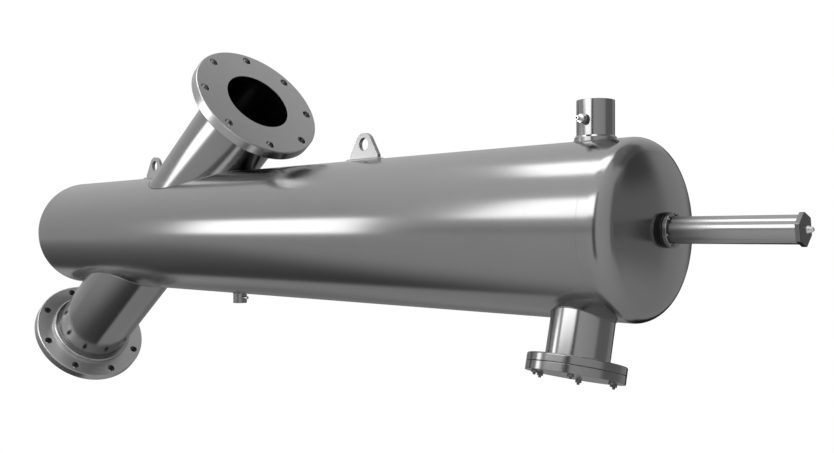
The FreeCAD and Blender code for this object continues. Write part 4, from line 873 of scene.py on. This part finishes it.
@dataclass
class Piece:
    """One new piece: its name, finish and body, and the CAD nodes it stands for; its slot is not
    used.
    """

    name: str
    finish: Finish
    slot: str = "polished_stainless"
    body: str = "vessel"
    stands_for: tuple[str, ...] = ()

    def put(self, shape: Shape, place: Matrix, sharp: float) -> None:
        """Turns a shape to a finished piece in the frame.

        Args:
            shape: The shape, in mm.
            place: The placement from along().
            sharp: The angle in degrees above which an edge stays sharp.
        """
        made_of = shape.mesh
        bmesh.ops.remove_doubles(made_of, verts=made_of.verts, dist=0.002)
        bmesh.ops.recalc_face_normals(made_of, faces=made_of.faces)
        bmesh.ops.transform(made_of, matrix=place, verts=made_of.verts)
        mesh = bpy.data.meshes.new(self.name)
        made_of.to_mesh(mesh)
        made_of.free()
        mesh.shade_smooth()
        mesh.set_sharp_from_angle(angle=math.radians(sharp))
        mesh.materials.append(self.finish.material())
        made = bring(self.name, mesh)
        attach(made, self.body)
        if self.stands_for:
            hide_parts(*self.stands_for)
        log.info("%s: %d faces", self.name, len(mesh.polygons))


@dataclass
class SubAssembly:
    """A group of CAD nodes with their finishes, and the new pieces that go with them."""

    finishes: ClassVar[dict[str, Finish]] = {}

    def dressing(self) -> dict[str, Finish]:
        """Names the finish of each CAD node."""
        return self.finishes

    def pieces(self) -> None:
        """Builds the group's new pieces; most groups have none."""

    def build(self) -> None:
        """Dresses the group's nodes and builds its new pieces."""
        dressing = self.dressing()
        for name, finish in dressing.items():
            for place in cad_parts[name].material_slots:
                place.material = finish.material()
        log.info("%s: %d nodes dressed", type(self).__name__, len(dressing))
        self.pieces()


@dataclass
class Branch(SubAssembly):
    """A pipe that leaves the shell, with the weld bead at its root; sizes in mm."""

    name: str = ""
    local: Local = LEVEL
    pipe_r: float = 0.0
    bead: float = 1.2
    bead_off: float = 0.3

    def saddle(self, angle: float) -> float:
        """Works out where the pipe's surface meets the shell's.

        Args:
            angle: The angle round the pipe.

        Returns:
            The height of that point on the pipe.
        """
        turn = along(self.local).to_3x3()
        out = turn @ Vector((0, 0, 1)) / MM
        side = turn @ Vector((math.cos(angle), math.sin(angle), 0)) / MM * self.pipe_r
        side += Vector(self.local.foot) - Vector((0.0, 0.0, AXIS_Z))
        slope = out.y ** 2 + out.z ** 2
        half = side.y * out.y + side.z * out.z
        rest = side.y ** 2 + side.z ** 2 - SHELL_R ** 2
        return (math.sqrt(half ** 2 - slope * rest) - half) / slope

    def weld(self, place: str, size: float, height: SizeAt) -> None:
        """Builds a weld bead round the pipe.

        Args:
            place: The word for its place that goes in its name.
            size: The radius of its section.
            height: Its height on the pipe at an angle.
        """
        shape = Shape()
        shape.bead(self.pipe_r + self.bead_off, size, height)
        Piece("%s_%s_weld" % (self.name, place), WELD_STEEL).put(shape, along(self.local), 60.0)

    def pieces(self) -> None:
        """Builds the weld bead at the root."""
        self.weld("root", self.bead, self.saddle)


@dataclass
class Vessel(SubAssembly):
    """Shell with its two heads, and the bulkheads welded into it."""

    finishes = {
        "shell": SHELL_STEEL, "closed_end_head": HEAD_STEEL, "drive_end_head": HEAD_STEEL,
        "inlet_bulkhead": MILL_STEEL, "motor_bulkhead": MILL_STEEL}


@dataclass
class Nozzle(Branch):
    """Leaning nozzle pipe with its flange, the root bead and the bead behind the flange."""

    pipe_r: float = 109.55
    bead: float = 1.5
    flange_bead: float = 1.3
    flange_bead_at: float = 538.2
    hole_look: tuple[str, float] = FLANGE_STEEL.hole_look

    def dressing(self) -> dict[str, Finish]:
        """Names the finish of each CAD node.

        Returns:
            The finishes by the nodes' names.
        """
        end = self.name.split("_")[0]
        return {self.name: replace(PIPE_STEEL, name="polished_%s_pipe" % end, local=self.local),
                end + "_flange": replace(FLANGE_STEEL, name="faced_%s_flange" % end,
                                         local=self.local, hole_look=self.hole_look)}

    def pieces(self) -> None:
        """Builds both beads."""
        super().pieces()
        self.weld("flange", self.flange_bead, even(self.flange_bead_at))


@dataclass
class Lugs(SubAssembly):
    """Two lifting lugs on their pads."""

    finishes = dict.fromkeys(
        ("lifting_lug_near", "lifting_lug_far", "lug_pad_near", "lug_pad_far"), PLATE_STEEL)


@dataclass
class FlushPort(Branch):
    """Upright flush pipe in its weld collar, with the sample connection on its side."""

    name: str = "flush_port"
    local: Local = FLUSH_AXIS
    pipe_r: float = 38.25

    finishes = {
        "flush_port_pipe": FLUSH_STEEL, "flush_port_collar": COLLAR_STEEL,
        "sample_boss": BOSS_STEEL, "sample_fitting": FITTING_STEEL}


@dataclass
class Hatch(Branch):
    """Service hatch: neck, flange, gasket and cover, with threaded studs and chamfered nuts."""

    name: str = "hatch"
    local: Local = HATCH_AXIS
    pipe_r: float = 57.15
    bead: float = 1.4
    circle_r: float = 76.25
    count: int = 6
    first: float = 2.2
    stud_r: float = 3.0
    root_r: float = 2.5
    pitch: float = 1.0
    stud_foot: float = 239.225
    stud_top: float = 273.425
    stud_point: float = 1.0
    nut_across: float = 10.0
    nut_foot: float = 264.825
    nut_height: float = 5.0
    nut_play: float = 0.05
    nut_chamfer: float = 0.15

    finishes = {
        "hatch_neck": NECK_STEEL, "hatch_flange": COVER_STEEL, "hatch_cover": COVER_STEEL,
        "hatch_gasket_ring": RUBBER, "hatch_studs": FASTENER_STEEL,
        "hatch_nuts": FASTENER_STEEL}

    def nuts(self) -> None:
        """Builds the nuts, each with its corners turned off above and below."""
        corner, flat = hexagon(self.nut_across), self.nut_across / 2 - self.nut_chamfer
        low, high = self.nut_foot, self.nut_foot + self.nut_height
        hole = even(self.stud_r + self.nut_play)
        stations = [(hole, even(low)), (even(flat), even(low)),
                    (corner, lambda angle: low + (corner(angle) - flat) * CHAMFER_SLOPE),
                    (corner, lambda angle: high - (corner(angle) - flat) * CHAMFER_SLOPE),
                    (even(flat), even(high)), (hole, even(high))]
        shape = Shape()
        for place in round_places(self.circle_r, self.count, self.first):
            shape.rings(stations, place, closed=True)
        Piece("hatch_chamfered_nuts", FASTENER_STEEL, "fastener_steel",
              stands_for=("hatch_nuts",)).put(shape, along(self.local), 25.0)

    def studs(self) -> None:
        """Builds the studs with their thread and pointed ends."""
        shape = Shape()
        for place in round_places(self.circle_r, self.count, self.first):
            shape.thread(self.stud_r, self.root_r, self.pitch, self.stud_foot, self.stud_top,
                         self.stud_point, place)
        Piece("hatch_threaded_studs", FASTENER_STEEL, "fastener_steel",
              stands_for=("hatch_studs",)).put(shape, along(self.local), 25.0)

    def pieces(self) -> None:
        """Builds the root bead, the nuts and the studs."""
        super().pieces()
        self.nuts()
        self.studs()


@dataclass
class Drain(Branch):
    """Drain coupling below, with the small bleed nipple on its side."""

    name: str = "drain"
    local: Local = DRAIN_AXIS
    pipe_r: float = 17.7

    finishes = {
        "drain_coupling": DRAIN_STEEL, "bleed_nipple": FITTING_STEEL}


@dataclass
class Gland(SubAssembly):
    """Gland rings round the rod, with their gasket, seal and button head screws."""

    circle_r: float = 27.0
    count: int = 6
    first: float = 18.0
    shank_r: float = 1.5
    head_r: float = 2.6
    foot: float = 2107.46
    seat: float = 2120.96
    head: float = 2.6
    socket: float = 2.0
    socket_share: float = 0.45
    dome: tuple[tuple[float, float], ...] = (
        (1.0, 0.25), (0.9, 0.55), (0.72, 0.85), (0.55, 1.0))

    finishes = {
        "gland_base_ring": BLACK_STEEL, "gland_front_ring": RING_STEEL,
        "gland_gasket": RUBBER, "rod_seal": RUBBER, "gland_screws": FASTENER_STEEL}

    def pieces(self) -> None:
        """Builds the screws: shank, domed head and hexagonal socket."""
        shape = Shape()
        socket = hexagon(self.socket)
        stations = [(even(self.shank_r), even(self.foot)), (even(self.shank_r), even(self.seat)),
                    (even(self.head_r), even(self.seat))]
        stations += [(even(self.head_r * out), even(self.seat + self.head * up))
                     for out, up in self.dome]
        stations += [(socket, even(self.seat + self.head * up)) for up in (1.0, self.socket_share)]
        for place in round_places(self.circle_r, self.count, self.first):
            shape.rings(stations, place, segments=24)
        Piece("gland_button_screws", FASTENER_STEEL, "fastener_steel",
              stands_for=("gland_screws",)).put(shape, along(LEVEL), 30.0)


@dataclass
class Housing(SubAssembly):
    """Piston housing with its hexagonal end cap, the cap's ring and the control nipple."""

    finishes = {
        "piston_housing": HOUSING_STEEL, "end_cap": CAP_STEEL, "end_cap_seal": RUBBER,
        "control_nipple": FITTING_STEEL}


@dataclass
class Screen(SubAssembly):
    """Fine screen in its cage, between two seals."""

    finishes = {
        "fine_screen": WIRE_CLOTH, "screen_cage": MILL_STEEL, "inlet_screen_seal": RUBBER,
        "motor_screen_seal": RUBBER, "guide_spider": MILL_STEEL, "guide_bush": BEARING,
        "motor_bulkhead_bush": BEARING}


@dataclass
class Collector(SubAssembly):
    """Collector tube with its eight suction nozzles and the two bent motor arms."""

    nozzles: int = 8

    finishes = {
        "collector_tube": MILL_STEEL, "collector_plug": MILL_STEEL, "motor_hub": MILL_STEEL,
        "motor_arm_1": MILL_STEEL, "motor_arm_2": MILL_STEEL, "thrust_plug": BEARING}

    def dressing(self) -> dict[str, Finish]:
        """Names the finish of each CAD node."""
        names = ["suction_nozzle_%d" % (number + 1) for number in range(self.nozzles)]
        return {**self.finishes, **dict.fromkeys(names, MILL_STEEL)}


@dataclass
class Carriage(SubAssembly):
    """Piston with its rings, and the rod with its thrust collars."""

    finishes = {
        "piston": MILL_STEEL, "piston_rings": RUBBER, "piston_rod": HOUSING_STEEL,
        "thrust_collars": MILL_STEEL}


@dataclass(frozen=True)
class Softbox:
    """A soft lamp in metres: its middle, the point it faces, its size and its radiance."""

    name: str
    place: Triple
    aim: Triple
    size: tuple[float, float]
    level: float
    soft: float

    def turn(self) -> Triple:
        """Gives the turn that points the lamp's -Z to its aim, as Euler angles."""
        return tuple((Vector(self.aim) - Vector(self.place)).to_track_quat("-Z", "Y").to_euler())

    def lamp(self) -> None:
        """Hangs the lamp itself, for matt surfaces; metal sees its silk instead."""
        data = bpy.data.lights.new(self.name, "AREA")
        data.shape = "RECTANGLE"
        data.size, data.size_y = self.size
        # An area lamp of this power has the radiance that level names.
        data.energy = 4.0 * self.level * self.size[0] * self.size[1]
        made = bring(self.name, data)
        made.location = self.place
        made.rotation_euler = self.turn()
        made.visible_camera = made.visible_glossy = False


@dataclass
class Studio:
    """Camera, soft lamps, pale floor, white surroundings and the cove that metal sees."""

    lens: float = 37.62
    shift: tuple[float, float] = (-0.0295, 0.0106)
    eye: Triple = (2.82539, -1.34557, 0.32980)
    heading: float = 42.466
    level: float = 0.35
    floor_height: float = -0.9
    cove_r: float = 12.0
    middle: Triple = (1.9, 0.0, 0.34)
    dark_sheet_size: tuple[float, float] = (12.0, 8.0)
    dark_sheet_middle: tuple[float, float] = (-4.2, -3.9)
    lamps: tuple[Softbox, ...] = (
        Softbox("streak_softbox", (-0.005, -1.03, 0.49), (-0.005, 0, 0.49), (1.2, 0.48), 4.5, 0.08),
        Softbox("front_softbox", (1.065, -2.30, 1.60), (1.065, 0, 1.60), (2.69, 1.42), 4.5, 0.22),
        Softbox("ceiling_softbox", (1.01, -0.42, 3.24), (1.01, -0.42, 0), (2.62, 1.2), 4.5, 0.12),
        Softbox("side_softbox", (1.79, -0.80, 0.66), (1.79, 0, 0.66), (0.58, 0.24), 4.0, 0.05),
    )

    def camera(self) -> None:
        """Sets the camera where the photograph was taken from."""
        data = bpy.data.cameras.new("camera")
        data.sensor_width = 36.0
        data.lens = self.lens
        data.shift_x, data.shift_y = self.shift
        data.clip_start, data.clip_end = 0.05, 50.0
        made = bring("camera", data)
        made.location = self.eye
        made.rotation_euler = (math.radians(90), 0, math.radians(self.heading))
        bpy.context.scene.camera = made

    def world(self) -> None:
        """Makes the surroundings white to the eye and to metal, and plain for soft light."""
        world = bpy.data.worlds.new("surroundings")
        world.use_nodes = True
        bpy.context.scene.world = world
        tree = world.node_tree
        tree.nodes.clear()
        rays = add(tree, "LightPath").outputs
        seen = sums(tree, "MAXIMUM", rays["Is Camera Ray"], rays["Is Glossy Ray"])
        seen = sums(tree, "MAXIMUM", seen, rays["Is Transmission Ray"])
        soft, white = (add(tree, "Background", {"Color": WHITE, "Strength": level}).outputs[0]
                       for level in (self.level, 1.0))
        add(tree, "OutputWorld", {"Surface": layer(tree, seen, soft, white)})

    def stand(self, name: str, shape: bmesh.types.BMesh, finish: Finish,
              metal_only: bool = True) -> bpy.types.Object:
        """Turns a shape to a part of the studio.

        Args:
            name: The part's name.
            shape: Its shape in metres.
            finish: What it is made of.
            metal_only: True if only reflections show it.

        Returns:
            The part's object.
        """
        mesh = bpy.data.meshes.new(name)
        shape.to_mesh(mesh)
        shape.free()
        mesh.materials.append(finish.material())
        made = bring(name, mesh)
        if metal_only:
            made.visible_camera = made.visible_diffuse = made.visible_transmission = False
            made.visible_volume_scatter = made.visible_shadow = False
            made.active_material.cycles.emission_sampling = "NONE"
        return made

    def floor(self) -> None:
        """Lays the floor, a disc that metal doesn't see."""
        shape, paint = bmesh.new(), Floor("painted_studio_floor")
        disc = bmesh.ops.create_circle(shape, cap_ends=True, segments=96, radius=paint.clear_to)
        bmesh.ops.translate(shape, verts=disc["verts"], vec=(*paint.middle[:2], self.floor_height))
        self.stand("floor", shape, paint, metal_only=False).visible_glossy = False

    def cove(self) -> None:
        """Sets up the cove, a wide glowing dome, and the dark sheet on the ground; both paint the
        metal's reflections.
        """
        shape = bmesh.new()
        bmesh.ops.create_uvsphere(shape, u_segments=32, v_segments=16, radius=self.cove_r)
        # A glowing dome that paints the metal's reflections.
        self.stand("cove", shape, Cove("glowing_reflection_cove")).location = self.middle
        # A dark sheet glowing faintly for the metal alone: the belly's dark band is a painted
        # reflection.
        cloth = self.stand("dark_reflection_sheet", sheet(self.dark_sheet_size, self.dark_sheet_middle),
                           DarkReflectionSheet("painted_dark_reflection"))
        cloth.location = (0, 0, self.floor_height)

    def softboxes(self) -> None:
        """Hangs the lamps, each with its silk."""
        for box in self.lamps:
            box.lamp()
            lit = Silk(box.name + "_lit_silk", box.level, tuple(a / 2 for a in box.size), box.soft)
            silk = self.stand(box.name + "_silk", sheet(box.size), lit)
            silk.location, silk.rotation_euler = box.place, box.turn()

    def build(self) -> None:
        """Sets up the whole studio."""
        self.camera()
        self.world()
        self.floor()
        self.cove()
        self.softboxes()


def main() -> None:
    """Builds the studio and the sub-assemblies in order."""
    logging.basicConfig(level=logging.INFO, format="%(message)s")
    bpy.context.scene.view_settings.view_transform = "Standard"
    Studio().build()
    # The lower flange's bolt holes lie in shade.
    inlet = Nozzle("inlet_nozzle_pipe", LOWER_NOZZLE, hole_look=("#3c3c3c", 0.14))
    for group in (Vessel(), Nozzle("outlet_nozzle_pipe", UPPER_NOZZLE), inlet, Lugs(), FlushPort(),
                  Hatch(), Drain(), Gland(), Housing(), Screen(), Collector(), Carriage()):
        group.build()


if __name__ == "__main__":
    main()
